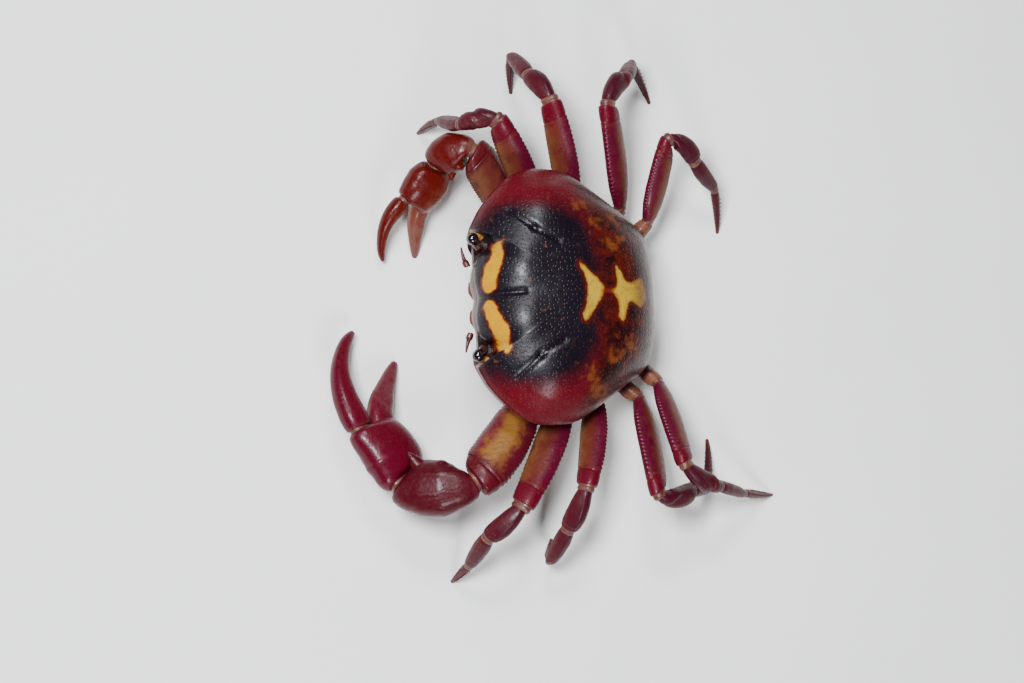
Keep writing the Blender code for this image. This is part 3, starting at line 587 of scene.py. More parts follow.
class Shader:
    """A material's node tree, built call by call from its surface shader back to its fields."""

    def __init__(self, name: str, **surface: float) -> None:
        """Make the material and set its constant values.

        Args:
            name: The material's name.
            **surface: Values for sockets of the surface shader, their names with _ for spaces.
        """
        self.material = bpy.data.materials.new(name)
        self.material.use_nodes = True
        self.tree = self.material.node_tree
        self.surface = self.tree.nodes["Principled BSDF"]
        for key, value in surface.items():
            self.surface.inputs[key.replace("_", " ")].default_value = value
        self.millimetres = self.place()

    def node(self, kind: str, inputs: dict | None = None, **settings: str | bool) -> bpy.types.Node:
        """A node with its settings and inputs in place.

        Args:
            kind: The node's type name, less ShaderNode.
            inputs: For each input's name or number, a value or another node's output.
            **settings: The node's own properties.

        Returns:
            The node.
        """
        made = self.tree.nodes.new("ShaderNode" + kind)
        for key, value in settings.items():
            setattr(made, key, value)
        for key, value in (inputs or {}).items():
            self.feed(made.inputs[key], value)
        return made

    def feed(self, socket: Socket, value: Value | Paint) -> None:
        """Link an output to a socket, or set the socket's own value.

        Args:
            socket: The socket.
            value: The output, number or colour that it takes.
        """
        if isinstance(value, Socket):
            self.tree.links.new(value, socket)
        elif isinstance(value, tuple) and socket.type == "RGBA":
            socket.default_value = (*value, 1.0)
        else:
            socket.default_value = value

    def place(self) -> Socket:
        """The point's own place in millimetres."""
        coordinates = self.node("TexCoord").outputs["Object"]
        return self.node("VectorMath", {0: coordinates, "Scale": 1 / MM}, operation="SCALE").outputs[0]

    def field(self, name: str) -> Socket:
        """A named value of the mesh."""
        return self.node("Attribute", attribute_name=name).outputs["Fac"]

    def noise(self, size: float, detail: float = 3.0, rough: float = 0.55, warp: float = 0.0) -> Socket:
        """Cloudy noise from about 0.3 to 0.7.

        Args:
            size: Millimetres across one cloud.
            detail: How many finer layers it has.
            rough: How strong these are.
            warp: How far it is distorted.

        Returns:
            The noise's value.
        """
        inputs = {"Vector": self.millimetres, "Scale": 1 / size, "Detail": detail, "Roughness": rough,
                  "Distortion": warp}
        return self.node("TexNoise", inputs).outputs["Fac"]

    def swing(self, size: float, detail: float = 3.0, rough: float = 0.55) -> Socket:
        """The same noise, from about -0.2 to 0.2."""
        return self.maths("SUBTRACT", self.noise(size, detail, rough), 0.5)

    def cells(self, size: float, jitter: float = 1.0, flat: bool = False) -> Socket:
        """Distance from scattered points.

        Args:
            size: Millimetres from point to point.
            jitter: How far the points stray from an even grid.
            flat: Whether they are spread over the plan view and not through space.

        Returns:
            The distance in shares of the size.
        """
        inputs = {"Vector": self.millimetres, "Scale": 1 / size, "Randomness": jitter}
        return self.node("TexVoronoi", inputs, voronoi_dimensions="2D" if flat else "3D").outputs["Distance"]

    def maths(self, operation: str, a: Value, b: Value) -> Socket:
        """One sum on values or outputs."""
        return self.node("Math", {0: a, 1: b}, operation=operation).outputs[0]

    def plus(self, base: Value, extra: Value, share: float) -> Socket:
        """A value with a share of another added."""
        return self.maths("ADD", base, self.maths("MULTIPLY", extra, share))

    def step(self, value: Value, low: float, high: float, first: float = 0.0, last: float = 1.0) -> Socket:
        """A soft step of a value.

        Args:
            value: What is read.
            low: Where the step starts.
            high: Where it ends.
            first: The result at and below low.
            last: The result at and above high.

        Returns:
            The stepped value.
        """
        inputs = {"Value": value, "From Min": low, "From Max": high, "To Min": first, "To Max": last}
        return self.node("MapRange", inputs, interpolation_type="SMOOTHSTEP").outputs[0]

    def mix(self, share: Value, below: Paint, above: Paint) -> Socket:
        """A blend of two colours, from the lower at a share of 0 to the upper at 1."""
        inputs = {0: share, 6: below, 7: above}
        return self.node("Mix", data_type="RGBA", blend_type="MIX", inputs=inputs).outputs[2]

    def over(
        self, below: Paint, above: Paint, value: Value, low: float, high: float, most: float = 1.0
    ) -> Socket:
        """A colour laid over another where a value steps up from low to high, at most this strong."""
        return self.mix(self.step(value, low, high, 0.0, most), below, above)

    def wash(self, below: Paint, above: Paint, value: Value, most: float) -> Socket:
        """A colour laid over another as strongly as a value says, times most."""
        return self.mix(self.maths("MULTIPLY", value, most), below, above)

    def band(self, value: Socket, *stops: tuple[float, Colour]) -> Socket:
        """A colour read off along a value.

        Args:
            value: Where to read, from 0 to 1.
            *stops: Places and their colours.

        Returns:
            The colour.
        """
        made = self.node("ValToRGB", {"Fac": value})
        line = made.color_ramp
        line.interpolation = "EASE"
        while len(line.elements) < len(stops):
            line.elements.new(0.5)
        for element, (place, colour) in zip(line.elements, stops):
            element.position = place
            element.color = (*colour, 1.0)
        return made.outputs["Color"]

    def bump(self, *layers: tuple[Socket, float]) -> None:
        """Stack bumps on the surface.

        Args:
            *layers: For each, the height's output and its size in millimetres.
        """
        inputs = {"Strength": 1.0}
        for height, depth in layers:
            inputs |= {"Height": height, "Distance": depth * MM}
            inputs["Normal"] = self.node("Bump", inputs).outputs["Normal"]
        self.feed(self.surface.inputs["Normal"], inputs["Normal"])

    def paint(self, colour: Paint, roughness: Value | None = None) -> bpy.types.Material:
        """Give the surface its colour and roughness.

        Args:
            colour: The colour.
            roughness: The roughness, where it isn't the constant one.

        Returns:
            The finished material.
        """
        self.feed(self.surface.inputs["Base Color"], colour)
        if roughness is not None:
            self.feed(self.surface.inputs["Roughness"], roughness)
        return self.material


@dataclass(frozen=True)
class ShellFinish:
    """The back's shell: black in the middle, crimson round the edge, with yellow and cream marks."""

    black: Colour = (0.005, 0.0025, 0.006)
    crimson: Colour = (0.090, 0.0007, 0.0055)
    rear: Colour = (0.060, 0.004, 0.0018)
    # Dark red of the rear mottling, the bar outlines and the orbit fringe; it is also the painted shade in
    # the eye sockets.
    dark_red_and_socket_shade: Colour = (0.014, 0.0014, 0.0016)
    yellow: Colour = (0.47, 0.235, 0.001)
    orange: Colour = (0.45, 0.17, 0.001)
    cream: Colour = (0.40, 0.25, 0.020)
    amber: Colour = (0.17, 0.045, 0.008)
    rim: Colour = (0.24, 0.11, 0.035)
    face: Colour = (0.06, 0.011, 0.007)
    pale_face: Colour = (0.13, 0.05, 0.022)
    neck: Colour = (0.13, 0.012, 0.004)
    patch: Colour = (0.45, 0.22, 0.04)

    def make(self) -> bpy.types.Material:
        """Build the material from the fields that the carapace's mesh carries.

        Returns:
            The material.
        """
        s = Shader("crab_shell", Coat_Weight=0.10, Coat_Roughness=0.3, IOR=1.45, Specular_IOR_Level=0.26)
        ragged, fine = s.swing(1.1, 3.0, 0.5), s.swing(0.35, 3.0, 0.6)
        pores = s.cells(0.66, jitter=0.7, flat=True)
        colour = self.marked(s, self.ground(s, ragged, pores), ragged, fine, pores)

        # Painted shade: the cervical grooves are darkened towards black.
        colour = s.wash(colour, self.black, s.field("furrow"), 0.7)
        colour = s.mix(s.field("rim"), colour, self.rim)
        underside = s.over(self.face, self.pale_face, s.noise(1.5), 0.4, 0.65)
        colour = s.mix(s.field("below"), colour, underside)
        # Painted shade: the hollow round each eye socket is darkened to near black.
        colour = s.mix(s.field("socket"), colour, self.dark_red_and_socket_shade)
        orbit = s.plus(s.field("orbit"), fine, 0.4)
        patch = s.over(self.patch, self.amber, s.noise(0.6), 0.4, 0.7)
        colour = s.over(colour, self.dark_red_and_socket_shade, orbit, 0.12, 0.34)
        colour = s.over(colour, patch, orbit, 0.42, 0.6)

        roughness = s.step(s.noise(0.8), 0.3, 0.75, 0.31, 0.41)
        roughness = s.plus(roughness, s.field("furrow"), -0.06)
        s.bump((s.step(pores, 0.10, 0.27), 0.030), (s.noise(0.25, 2.0), 0.010), (s.noise(1.6, 2.0), 0.05))
        return s.paint(colour, roughness)

    def ground(self, s: Shader, ragged: Socket, pores: Socket) -> Socket:
        """The shell's own colour: black, crimson at the sides, mottled behind, with amber blotches, and
        painted shade that darkens the pits.

        Args:
            s: The material in the making.
            ragged: Noise that frays the edges.
            pores: Distance from the nearest pit.

        Returns:
            The colour.
        """
        red = s.plus(s.field("crimson"), s.swing(3.2), 0.5)
        colour = s.over(self.black, self.crimson, red, 0.2, 0.95)
        rear = s.over(self.dark_red_and_socket_shade, self.rear, s.noise(1.9, 4.0, 0.62, 0.6), 0.40, 0.62)
        colour = s.mix(s.field("rear"), colour, rear)
        specks = s.maths("MULTIPLY", s.step(s.cells(0.9), 0.1, 0.3, 1.0, 0.0), s.field("crimson"))
        colour = s.wash(colour, s.mix(0.5, self.crimson, self.amber), specks, 0.35)
        blotch = s.plus(s.field("blotch"), ragged, 3.2)
        colour = s.over(colour, self.amber, blotch, 0.35, 1.25, 0.65)
        # Painted shade: the pits are darkened towards black.
        return s.mix(s.step(pores, 0.08, 0.26, 0.45, 0.0), colour, self.black)

    def marked(self, s: Shader, colour: Socket, ragged: Socket, fine: Socket, pores: Socket) -> Socket:
        """The yellow bars behind the brow, and the cream chevron and cross with their neck.

        Args:
            s: The material in the making.
            colour: The ground below the marks.
            ragged: Noise that frays the marks' edges.
            fine: Finer noise of the same kind.
            pores: Distance from the nearest pit.

        Returns:
            The colour.
        """
        bars = s.plus(s.plus(s.field("bars"), ragged, 0.5), fine, 0.22)
        yellow = s.over(self.yellow, self.orange, s.noise(1.6), 0.4, 0.65, 0.5)
        # Painted shade: the pits in the yellow bars are turned orange.
        yellow = s.wash(yellow, self.orange, s.step(pores, 0.1, 0.25, 1.0, 0.0), 0.4)
        colour = s.over(colour, self.dark_red_and_socket_shade, bars, -0.6, -0.15, 0.9)
        colour = s.over(colour, self.neck, bars, -0.22, -0.02, 0.85)
        colour = s.over(colour, yellow, bars, -0.06, 0.16)

        marks = s.plus(s.plus(s.field("marks"), ragged, 0.6), fine, 0.25)
        cream = s.over(self.cream, self.amber, s.noise(0.8), 0.45, 0.7, 0.35)
        cream = s.mix(s.step(marks, 0.05, 0.45, 0.5, 0.0), cream, self.amber)
        colour = s.over(colour, self.rear, marks, -0.9, -0.1, 0.8)
        fade = s.maths("MULTIPLY", s.step(marks, -0.14, 0.16), s.field("marks_strength"))
        return s.wash(s.mix(fade, colour, cream), self.neck, s.field("neck"), 0.8)


@dataclass(frozen=True)
class LimbFinish:
    """A limb's shell: a belly colour, a crest colour, a glossy cap at its far end and pale joints."""

    name: str
    belly: Colour
    middle: Colour
    crest: Colour
    cap: Colour
    edge: Colour = (0.08, 0.022, 0.016)
    freckle: Colour = (0.17, 0.06, 0.028)
    cap_starts: float = 0.84
    gloss: float = 0.36
    freckles: float = 0.3
    wrinkles: float = 0.0

    def make(self) -> bpy.types.Material:
        """Build the material from the fields along, crest and spine.

        Returns:
            The material.
        """
        s = Shader(self.name, Coat_Weight=0.08, Coat_Roughness=0.14, IOR=1.45, Specular_IOR_Level=0.22)
        cloud = s.swing(1.4, 4.0, 0.6)
        level = s.plus(s.plus(0.5, s.field("crest"), 0.5), cloud, 0.7)
        colour = s.band(level, (0.0, self.edge), (0.12, self.belly), (0.5, self.middle), (0.9, self.crest))
        along = s.plus(s.field("along"), cloud, 0.10)
        colour = s.over(colour, self.cap, along, self.cap_starts - 0.06, self.cap_starts + 0.03)
        dots = s.step(s.cells(0.55), 0.12, 0.3, 1.0, 0.0)
        patchy = s.step(s.noise(1.9, 2.0), 0.42, 0.62)
        colour = s.wash(colour, self.freckle, s.maths("MULTIPLY", dots, patchy), self.freckles)
        seam = s.maths("ABSOLUTE", s.maths("SUBTRACT", s.field("along"), self.cap_starts), 0.0)
        colour = s.mix(s.step(seam, 0.004, 0.014, 0.4, 0.0), colour, self.edge)
        colour = s.wash(colour, self.edge, s.step(s.field("along"), 0.0, 0.05, 1.0, 0.0), 0.6)
        colour = s.over(colour, self.crest, s.field("spine"), 0.1, 0.6)
        rough = s.step(s.noise(0.6), 0.3, 0.7, self.gloss - 0.06, self.gloss + 0.12)
        layers = [(s.cells(0.30), 0.018), (s.noise(0.5), 0.03)]
        if self.wrinkles:
            inputs = {"Vector": s.millimetres, "Scale": 0.42, "Distortion": 6.0, "Detail": 2.0,
                      "Detail Scale": 1.4}
            layers.append((s.node("TexWave", inputs, bands_direction="X").outputs["Fac"], self.wrinkles))
        s.bump(*layers)
        return s.paint(colour, rough)


@dataclass(frozen=True)
class PlainFinish:
    """A small part's finish: two clouded colours over a fine bump."""

    name: str
    colour: Colour
    other: Colour
    roughness: float = 0.4
    cloud: float = 0.9
    coat: float = 0.2
    depth: float = 0.04

    def make(self) -> bpy.types.Material:
        """Build the material.

        Returns:
            The material.
        """
        s = Shader(self.name, Coat_Weight=self.coat, Coat_Roughness=0.12, IOR=1.5)
        colour = s.over(self.colour, self.other, s.noise(self.cloud, 4.0, 0.6), 0.38, 0.64)
        rough = s.step(s.noise(0.5), 0.3, 0.7, self.roughness * 0.8, self.roughness * 1.2)
        s.bump((s.noise(0.25), self.depth))
        return s.paint(colour, rough)


class Finishes:
    """Every material of the crab, made once."""

    def __init__(self) -> None:
        """Make them all, the limbs' with belly, middle, crest and cap colours in this order."""
        self.shell = ShellFinish().make()
        self.merus = LimbFinish(
            "leg_long_shell", (0.13, 0.045, 0.016), (0.095, 0.018, 0.010), (0.070, 0.0015, 0.013),
            (0.085, 0.0012, 0.009),
        ).make()
        self.leg = LimbFinish(
            "leg_shell", (0.065, 0.005, 0.010), (0.048, 0.0015, 0.007), (0.042, 0.001, 0.008),
            (0.055, 0.001, 0.008), edge=(0.05, 0.004, 0.009), gloss=0.44, cap_starts=0.93,
        ).make()
        self.dactylus = LimbFinish(
            "leg_tip_shell", (0.07, 0.005, 0.008), (0.06, 0.003, 0.006), (0.045, 0.002, 0.006),
            (0.08, 0.015, 0.012), edge=(0.06, 0.006, 0.010), gloss=0.42, cap_starts=0.9,
        ).make()
        self.base = LimbFinish(
            "leg_base_shell", (0.17, 0.06, 0.03), (0.13, 0.035, 0.02), (0.06, 0.006, 0.014),
            (0.15, 0.05, 0.025), gloss=0.42,
        ).make()
        arm_left = LimbFinish(
            "arm_shell_left", (0.10, 0.006, 0.018), (0.19, 0.080, 0.012), (0.07, 0.003, 0.010),
            (0.065, 0.002, 0.006), wrinkles=0.012,
        ).make()
        arm_right = LimbFinish(
            "arm_shell_right", (0.13, 0.045, 0.022), (0.11, 0.020, 0.016), (0.06, 0.004, 0.008),
            (0.07, 0.005, 0.007),
        ).make()
        claw_left = LimbFinish(
            "claw_shell_left", (0.09, 0.004, 0.014), (0.085, 0.0015, 0.009), (0.072, 0.001, 0.010),
            (0.08, 0.002, 0.010), edge=(0.10, 0.018, 0.024), gloss=0.3, freckles=0.15, cap_starts=2.0,
        ).make()
        wrist_left = LimbFinish(
            "wrist_shell_left", (0.07, 0.002, 0.009), (0.066, 0.0013, 0.006), (0.052, 0.001, 0.005),
            (0.08, 0.003, 0.008), edge=(0.10, 0.012, 0.018), gloss=0.38, freckles=0.12, cap_starts=2.0,
            wrinkles=0.02,
        ).make()
        claw_right = LimbFinish(
            "claw_shell_right", (0.13, 0.030, 0.018), (0.080, 0.0048, 0.0028), (0.068, 0.0025, 0.0020),
            (0.09, 0.006, 0.004), edge=(0.14, 0.052, 0.040), gloss=0.3, freckles=0.25, cap_starts=2.0,
        ).make()
        self.arm = {Side.LEFT: arm_left, Side.RIGHT: arm_right}
        self.wrist = {Side.LEFT: wrist_left, Side.RIGHT: claw_right}
        self.hand = {Side.LEFT: claw_left, Side.RIGHT: claw_right}
        self.membrane = PlainFinish("joint_skin", (0.12, 0.04, 0.02), (0.07, 0.012, 0.012), 0.5).make()
        self.underside = PlainFinish("underside_shell", (0.38, 0.20, 0.10), (0.28, 0.11, 0.06), 0.45).make()
        self.mouth = PlainFinish("mouth_shell", (0.12, 0.03, 0.02), (0.17, 0.06, 0.03), 0.42).make()
        self.eye = PlainFinish(
            "eye_black", (0.006, 0.003, 0.005), (0.012, 0.004, 0.006), 0.09, 0.4, 1.0, 0.004,
        ).make()
        self.stalk = PlainFinish("eye_stalk", (0.018, 0.004, 0.005), (0.05, 0.015, 0.010), 0.3).make()
        self.feeler = PlainFinish(
            "feeler_shell", (0.07, 0.010, 0.008), (0.04, 0.005, 0.006), 0.35, 0.5,
        ).make()


@dataclass
class Carapace:
    """The back plate with its walls, its furrows and its marks, in the body's own frame."""

    outline: tuple[Point2, ...] = (
        (0.0, -13.3), (2.8, -13.75), (5.0, -13.35), (6.0, -12.75), (6.6, -11.9), (7.6, -11.55), (8.7, -12.3),
        (9.65, -13.85), (11.4, -13.2), (13.2, -12.1), (15.3, -10.2), (17.0, -8.1), (17.9, -5.8),
        (18.05, -3.3),
        (17.7, -0.4), (16.6, 1.9), (14.6, 5.0), (12.6, 8.0), (10.9, 10.7), (8.9, 12.6), (5.6, 13.4),
        (2.6, 13.6), (0.0, 13.65),
    )
    centre: Point2 = (0.0, -0.5)
    orbit_inner: float = 5.4
    orbit_outer: float = 9.6
    face_line: float = -13.3
    margin_height: float = 10.5
    margin_crown: float = -5.0
    margin_fall: float = 0.0105
    top_height: float = 16.26
    top_crown: float = -1.5
    top_fall: float = 0.006
    dome_power: float = 3.0
    dome_shoulder: float = 0.65
    rim_depth: float = 0.9
    underside: float = 4.7
    around: int = 480
    rings: int = 96
    orbit_bridge: tuple[Point2, ...] = ((5.5, -13.2), (9.6, -13.8))
    even_reach: int = 36
    notch_reach: float = 9.0
    lobes: tuple[Row, ...] = (
        (3.7, -8.8, 3.1, 2.8, 0.52),
        (11.8, -5.0, 4.6, 4.2, 0.9),
        (0.0, -1.5, 5.0, 4.5, 0.3),
        (8.6, 4.5, 4.2, 4.5, 0.25),
    )
    furrows: tuple[Row, ...] = (
        (0.0, -13.2, 0.0, -8.6, 0.4, 0.30),
        (11.6, -9.6, 8.8, -6.7, 0.5, 0.26),
        (8.8, -6.7, 7.0, -3.5, 0.5, 0.22),
        (3.5, 1.2, 3.4, 4.6, 0.9, 0.4),
    )
    right_bar: tuple[Point2, ...] = (
        (-7.5, -10.7), (-5.8, -10.8), (-4.4, -11.1), (-2.4, -11.7), (-0.8, -12.0), (-0.3, -12.6),
        (-1.0, -13.2), (-3.6, -13.0), (-5.7, -12.0), (-7.2, -11.4),
    )
    left_bar: tuple[Point2, ...] = (
        (0.8, -12.9), (1.0, -12.2), (2.7, -11.7), (4.8, -10.8), (6.4, -10.5), (8.1, -10.6), (8.2, -11.3),
        (6.8, -11.6), (5.0, -12.5), (2.9, -13.1), (1.5, -13.2),
    )
    chevron: tuple[Point2, ...] = (
        (-3.9, -0.7), (-3.0, 0.5), (-1.5, 2.1), (-0.1, 2.8), (1.6, 1.9), (3.4, 0.7), (4.2, -0.2), (3.4, -0.6),
        (1.1, 0.2), (-0.4, 0.2), (-1.9, 0.0), (-3.0, -0.5),
    )
    cross: tuple[Point2, ...] = (
        (0.1, 3.9), (-0.9, 4.9), (-3.4, 5.0), (-2.8, 5.8), (-1.5, 6.3), (-1.3, 7.6), (-2.0, 9.4), (0.2, 10.2),
        (2.1, 9.2), (1.4, 7.4), (1.9, 6.6), (4.0, 5.9), (3.6, 5.2), (1.1, 4.9),
    )
    crimson_edge: tuple[Point2, ...] = (
        (0.0, -18.0), (8.0, -15.2), (11.8, -11.3), (12.3, -8.0), (12.1, -4.1), (10.6, -0.7), (7.7, 1.2),
        (4.9, 2.5), (0.0, 3.2), (-6.0, 3.0), (-6.0, -18.0),
    )
    neck: tuple[Point2, ...] = ((0.05, 2.6), (0.05, 4.2))
    orbit_patch: tuple[Point2, ...] = ((9.3, -13.5), (8.55, -12.5))
    blotches: tuple[Row, ...] = (
        (-12.1, 0.3, 1.4), (-9.6, 2.4, 1.5), (-6.4, 4.5, 1.3), (-7.6, 6.6, 1.1), (11.7, 0.6, 1.3),
        (13.4, 2.0, 1.4), (9.2, 4.4, 1.4), (14.6, 3.2, 1.1), (7.4, 7.2, 1.2), (-10.6, 5.6, 1.0),
    )
    walls: tuple[Row, ...] = (
        (0.0, 0.99, 0.99, 0.99, 0.0), (0.22, 0.98, 0.99, 0.975, 0.22), (0.46, 0.9, 0.985, 0.94, 0.46),
        (0.76, 0.76, 0.955, 0.88, 0.76), (1.0, 0.62, 0.86, 0.8, 1.0),
    )
    wall_rings: int = 24

    def edge_points(self) -> np.ndarray:
        """The carapace's edge all round from the front.

        Returns:
            Evenly spaced plane points, one a row.
        """
        half = np.array([smooth(self.outline, i / 1600) for i in range(1601)])
        lengths = np.concatenate([[0.0], np.cumsum(np.hypot(*np.diff(half, axis=0).T))])
        want = np.linspace(0.0, lengths[-1], self.around // 2 + 1)
        right = np.stack([np.interp(want, lengths, half[:, k]) for k in (0, 1)], axis=1)
        return np.vstack([right, right[-2:0:-1] * (-1, 1)])

    def margin(self, y: np.ndarray) -> np.ndarray:
        """Height of the edge at a distance back."""
        return self.margin_height - self.margin_fall * (y - self.margin_crown) ** 2

    def relief(self, x: np.ndarray, y: np.ndarray) -> np.ndarray:
        """Swellings less furrows of the back.

        Args:
            x: Places across.
            y: Distances back.

        Returns:
            Millimetres above the plain dome.
        """
        x = np.abs(x)
        plan = np.stack([x, y], axis=1)
        height = np.zeros_like(x)
        for cx, cy, rx, ry, rise in self.lobes:
            height += rise * np.exp(-(((x - cx) / rx) ** 2) - ((y - cy) / ry) ** 2)
        for x0, y0, x1, y1, half, depth in self.furrows:
            height -= depth * bell(to_line(plan, ((x0, y0), (x1, y1))), 0.0, half)
        return height

    def evened(self, edge: np.ndarray) -> np.ndarray:
        """How far out each edge point lies, as a share of the edge with its orbits bridged.

        Args:
            edge: The edge's plane points.

        Returns:
            The shares.
        """
        (x0, y0), (x1, y1) = self.orbit_bridge
        x, y = np.abs(edge[:, 0]), edge[:, 1] - self.centre[1]
        dx, dy = x1 - x0, y1 - y0
        hit = (x0 * dy - (y0 - self.centre[1]) * dx) / (x * dy - y * dx)
        notch = (x > x0) & (x < x1) & (y < -9)
        blend = span(x, x0, x0 + 0.8, x1 - 0.3, x1)
        bridged = np.where(notch, 1 + (np.maximum(hit, 1.0) - 1) * blend, 1.0) * np.hypot(x, y)
        weights = np.cos(np.linspace(-math.pi / 2, math.pi / 2, 2 * self.even_reach + 1))
        turns = [np.roll(bridged, k) for k in range(-self.even_reach, self.even_reach + 1)]
        return np.hypot(x, y) * weights.sum() / (weights @ np.array(turns))

    def back(self, x: np.ndarray, y: np.ndarray, share: float, evened: np.ndarray) -> np.ndarray:
        """Height of the back over a ring of points.

        Args:
            x: Their places across.
            y: Their distances back.
            share: How far out to the edge the ring lies.
            evened: How far out the edge itself lies, with its notches bridged.

        Returns:
            The heights.
        """
        low = self.margin(y)
        top = self.top_height - self.top_fall * (y - self.top_crown) ** 2
        out = share * (1 - (1 - evened) * (1 - share**self.notch_reach))
        dome = (1 - out**self.dome_power) ** self.dome_shoulder
        return low + (top - low) * dome + self.relief(x, y) * min(1.0, (1 - share) * 6)

    def mesh(self) -> Mesh:
        """The back from its middle out, the rounded edge and the walls below, with the marks' fields.

        Returns:
            The mesh.
        """
        edge = self.edge_points()
        cx, cy = self.centre
        evened = self.evened(edge)
        rings = []
        for share in 1 - (1 - np.linspace(0.02, 1.0, self.rings)[:-1]) ** 1.35:
            x, y = cx + (edge[:, 0] - cx) * share, cy + (edge[:, 1] - cy) * share
            rings.append(np.stack([x, y, self.back(x, y, share, evened)], axis=1))
        rings = np.array(rings + self.sides(*edge.T))
        return self.marked(skin(rings, {"ring": np.arange(len(rings))[:, None]}))

    def sides(self, x: np.ndarray, y: np.ndarray) -> list[np.ndarray]:
        """The rings of the rounded edge and of the walls below it, which bridge the orbits.

        Args:
            x: The edge's places across.
            y: The edge's distances back.

        Returns:
            The rings, from the top down.
        """
        rings = []
        for k in range(6):
            drop = 0.1 + (self.rim_depth - 0.1) * k / 5
            pull = 1 - 0.01 * (k / 5) ** 2
            rings.append(np.stack([x * pull, y * pull, self.margin(y) - drop], axis=1))
        notch = (np.abs(x) > self.orbit_inner) & (np.abs(x) < self.orbit_outer) & (y < -10)
        bridged = np.where(notch, np.minimum(y, self.face_line), y)
        for k in range(1, self.wall_rings + 1):
            wide, front, rear, drop = profile(self.walls, k / self.wall_rings, 0.06)
            wy = y + (bridged - y) * min(k / 5, 1.0)
            high = self.margin(wy) - self.rim_depth
            reach = rear + (front - rear) * (1 - ramp(wy, -3.0, 3.0))
            rings.append(np.stack([x * wide, wy * reach, high + (self.underside - high) * drop], axis=1))
        return rings

    def marked(self, mesh: Mesh) -> Mesh:
        """Give the mesh the fields that its finish reads.

        Args:
            mesh: The carapace, still in the body's own frame.

        Returns:
            The mesh in the crab's frame.
        """
        plan = mesh.points[:, :2]
        x, y = plan.T
        mirrored = np.stack([np.abs(x), y], axis=1)
        ring = mesh.fields.pop("ring") - self.rings
        inward = to_polygon(plan, [tuple(point) for point in self.edge_points()[::6]])
        # The cervical grooves: their field paints shade into them and lowers their roughness.
        furrows = [to_line(mirrored, (row[:2], row[2:4])) for row in self.furrows[1:3]]
        pale = to_line(mirrored, self.orbit_patch)
        # Where the eye socket's painted shade lies: round each eye's root, on the edge and the walls below
        # it.
        socket = np.hypot((np.abs(x) - 7.4) / 2.6, (y + 12.6) / 2.2)
        mesh.fields = {
            "crimson": np.clip(0.5 - to_polygon(mirrored, self.crimson_edge) / 5.0, 0, 1),
            "rear": ramp(y + 0.12 * np.abs(x), 0.5, 4.5) * (0.75 + 0.25 * ramp(inward, 0.0, 2.0)),
            "bars": np.maximum(to_polygon(plan, self.right_bar), to_polygon(plan, self.left_bar)),
            "marks": np.maximum(to_polygon(plan, self.chevron), to_polygon(plan, self.cross)),
            "marks_strength": 1 - 0.65 * ramp(y, 6.8, 9.5),
            "neck": bell(to_line(plan, self.neck), 0.0, 0.28),
            "blotch": sum(bell(np.hypot(x - bx, y - by), 0.0, size) for bx, by, size in self.blotches),
            "furrow": bell(np.min(furrows, axis=0), 0.0, 0.6),
            "rim": 0.8 * bell(ring, 2.0, 3.2) * ramp(y, 0.5, 5.0),
            "below": ramp(ring, 4.0, 8.0),
            "orbit": (1 - ramp(pale, 0.1, 0.8)) * span(ring, -1.0, 2.0, 6.0, 10.0),
            "socket": (1 - ramp(socket, 0.8, 1.1)) * ramp(ring, -1.0, 3.0),
        }
        return mesh.in_body()

    def build(self, finishes: Finishes) -> None:
        """Make the back plate."""
        show(self.mesh().make("carapace_shell", finishes.shell), "shell", "carapace")


@dataclass
class Sternum:
    """The breast plate."""

    half_width: float = 7.3
    front: float = -9.6
    rear: float = 11.0
    power: float = 3.6
    top: float = 4.3
    bevel: float = 1.1
    mouth_line: float = -5.8
    mouth_rise: float = 0.75
    grooves: tuple[float, ...] = (-3.0, 1.1, 4.9, 8.2)
    around: int = 160

    def width_at(self, y: float) -> float:
        """Half width at a distance back.

        Args:
            y: The distance back.

        Returns:
            The half width.
        """
        middle, half = (self.front + self.rear) / 2, (self.rear - self.front) / 2
        share = min(abs(y - middle) / half, 1.0)
        return self.half_width * (1 - share**self.power) ** (1 / self.power)

    def floor(self, y: np.ndarray | float) -> np.ndarray | float:
        """How high the underside lies at a distance back, as it rises in front to the mouth."""
        return np.maximum(0.0, (self.mouth_line - y) * self.mouth_rise)

    def root(self, along: float, height: float, side: Side) -> tuple[Vector, Vector]:
        """Where a leg starts beside the plate.

        Args:
            along: Distance back along the plate.
            height: Height in the body's frame.
            side: The crab's side.

        Returns:
            The place and the direction that the root looks.
        """
        slope = (self.width_at(along + 0.4) - self.width_at(along - 0.4)) / 0.8
        outward = Vector((side.value, -slope, 0.0)).normalized()
        start = Vector((self.width_at(along) * side.value, along, height)) + outward * (JOINT_GAP + 0.15)
        return BODY_TURN @ start, (BODY_TURN.to_3x3() @ outward).normalized()

    def mesh(self) -> Mesh:
        """The plate, its underside grooved between the legs and rising in front to the mouth.

        Returns:
            The mesh.
        """
        middle, half = (self.front + self.rear) / 2, (self.rear - self.front) / 2
        c, n = circle(self.around)
        rings = []
        insets = [self.half_width * (1 - k / 14) for k in range(1, 14)]
        levels = [(inset, 0.0) for inset in insets if inset > self.bevel]
        for inset, high in levels + [(self.bevel, 0.0), (0.3, 0.5), (0.0, 1.4), (0.0, 2.8), (0.0, self.top)]:
            x = squared(c, self.power) * (self.half_width - min(inset, self.half_width - 0.1))
            y = middle + squared(n, self.power) * max(half - inset, 0.1)
            level = np.full(self.around, high)
            z = np.maximum(high, self.floor(y) + high * 0.3) if high < self.top else level
            if high < 1:
                for groove in self.grooves:
                    z = z + 0.22 * bell(y, groove, 0.3) * ramp(np.abs(x), 2.6, 4.0)
            rings.append(np.stack([x, y, z], axis=1))
        return skin(np.array(rings)).in_body()

    def build(self, finishes: Finishes) -> None:
        """Make the breast plate."""
        show(self.mesh().make("sternum_shell", finishes.underside), "underside", "sternum")


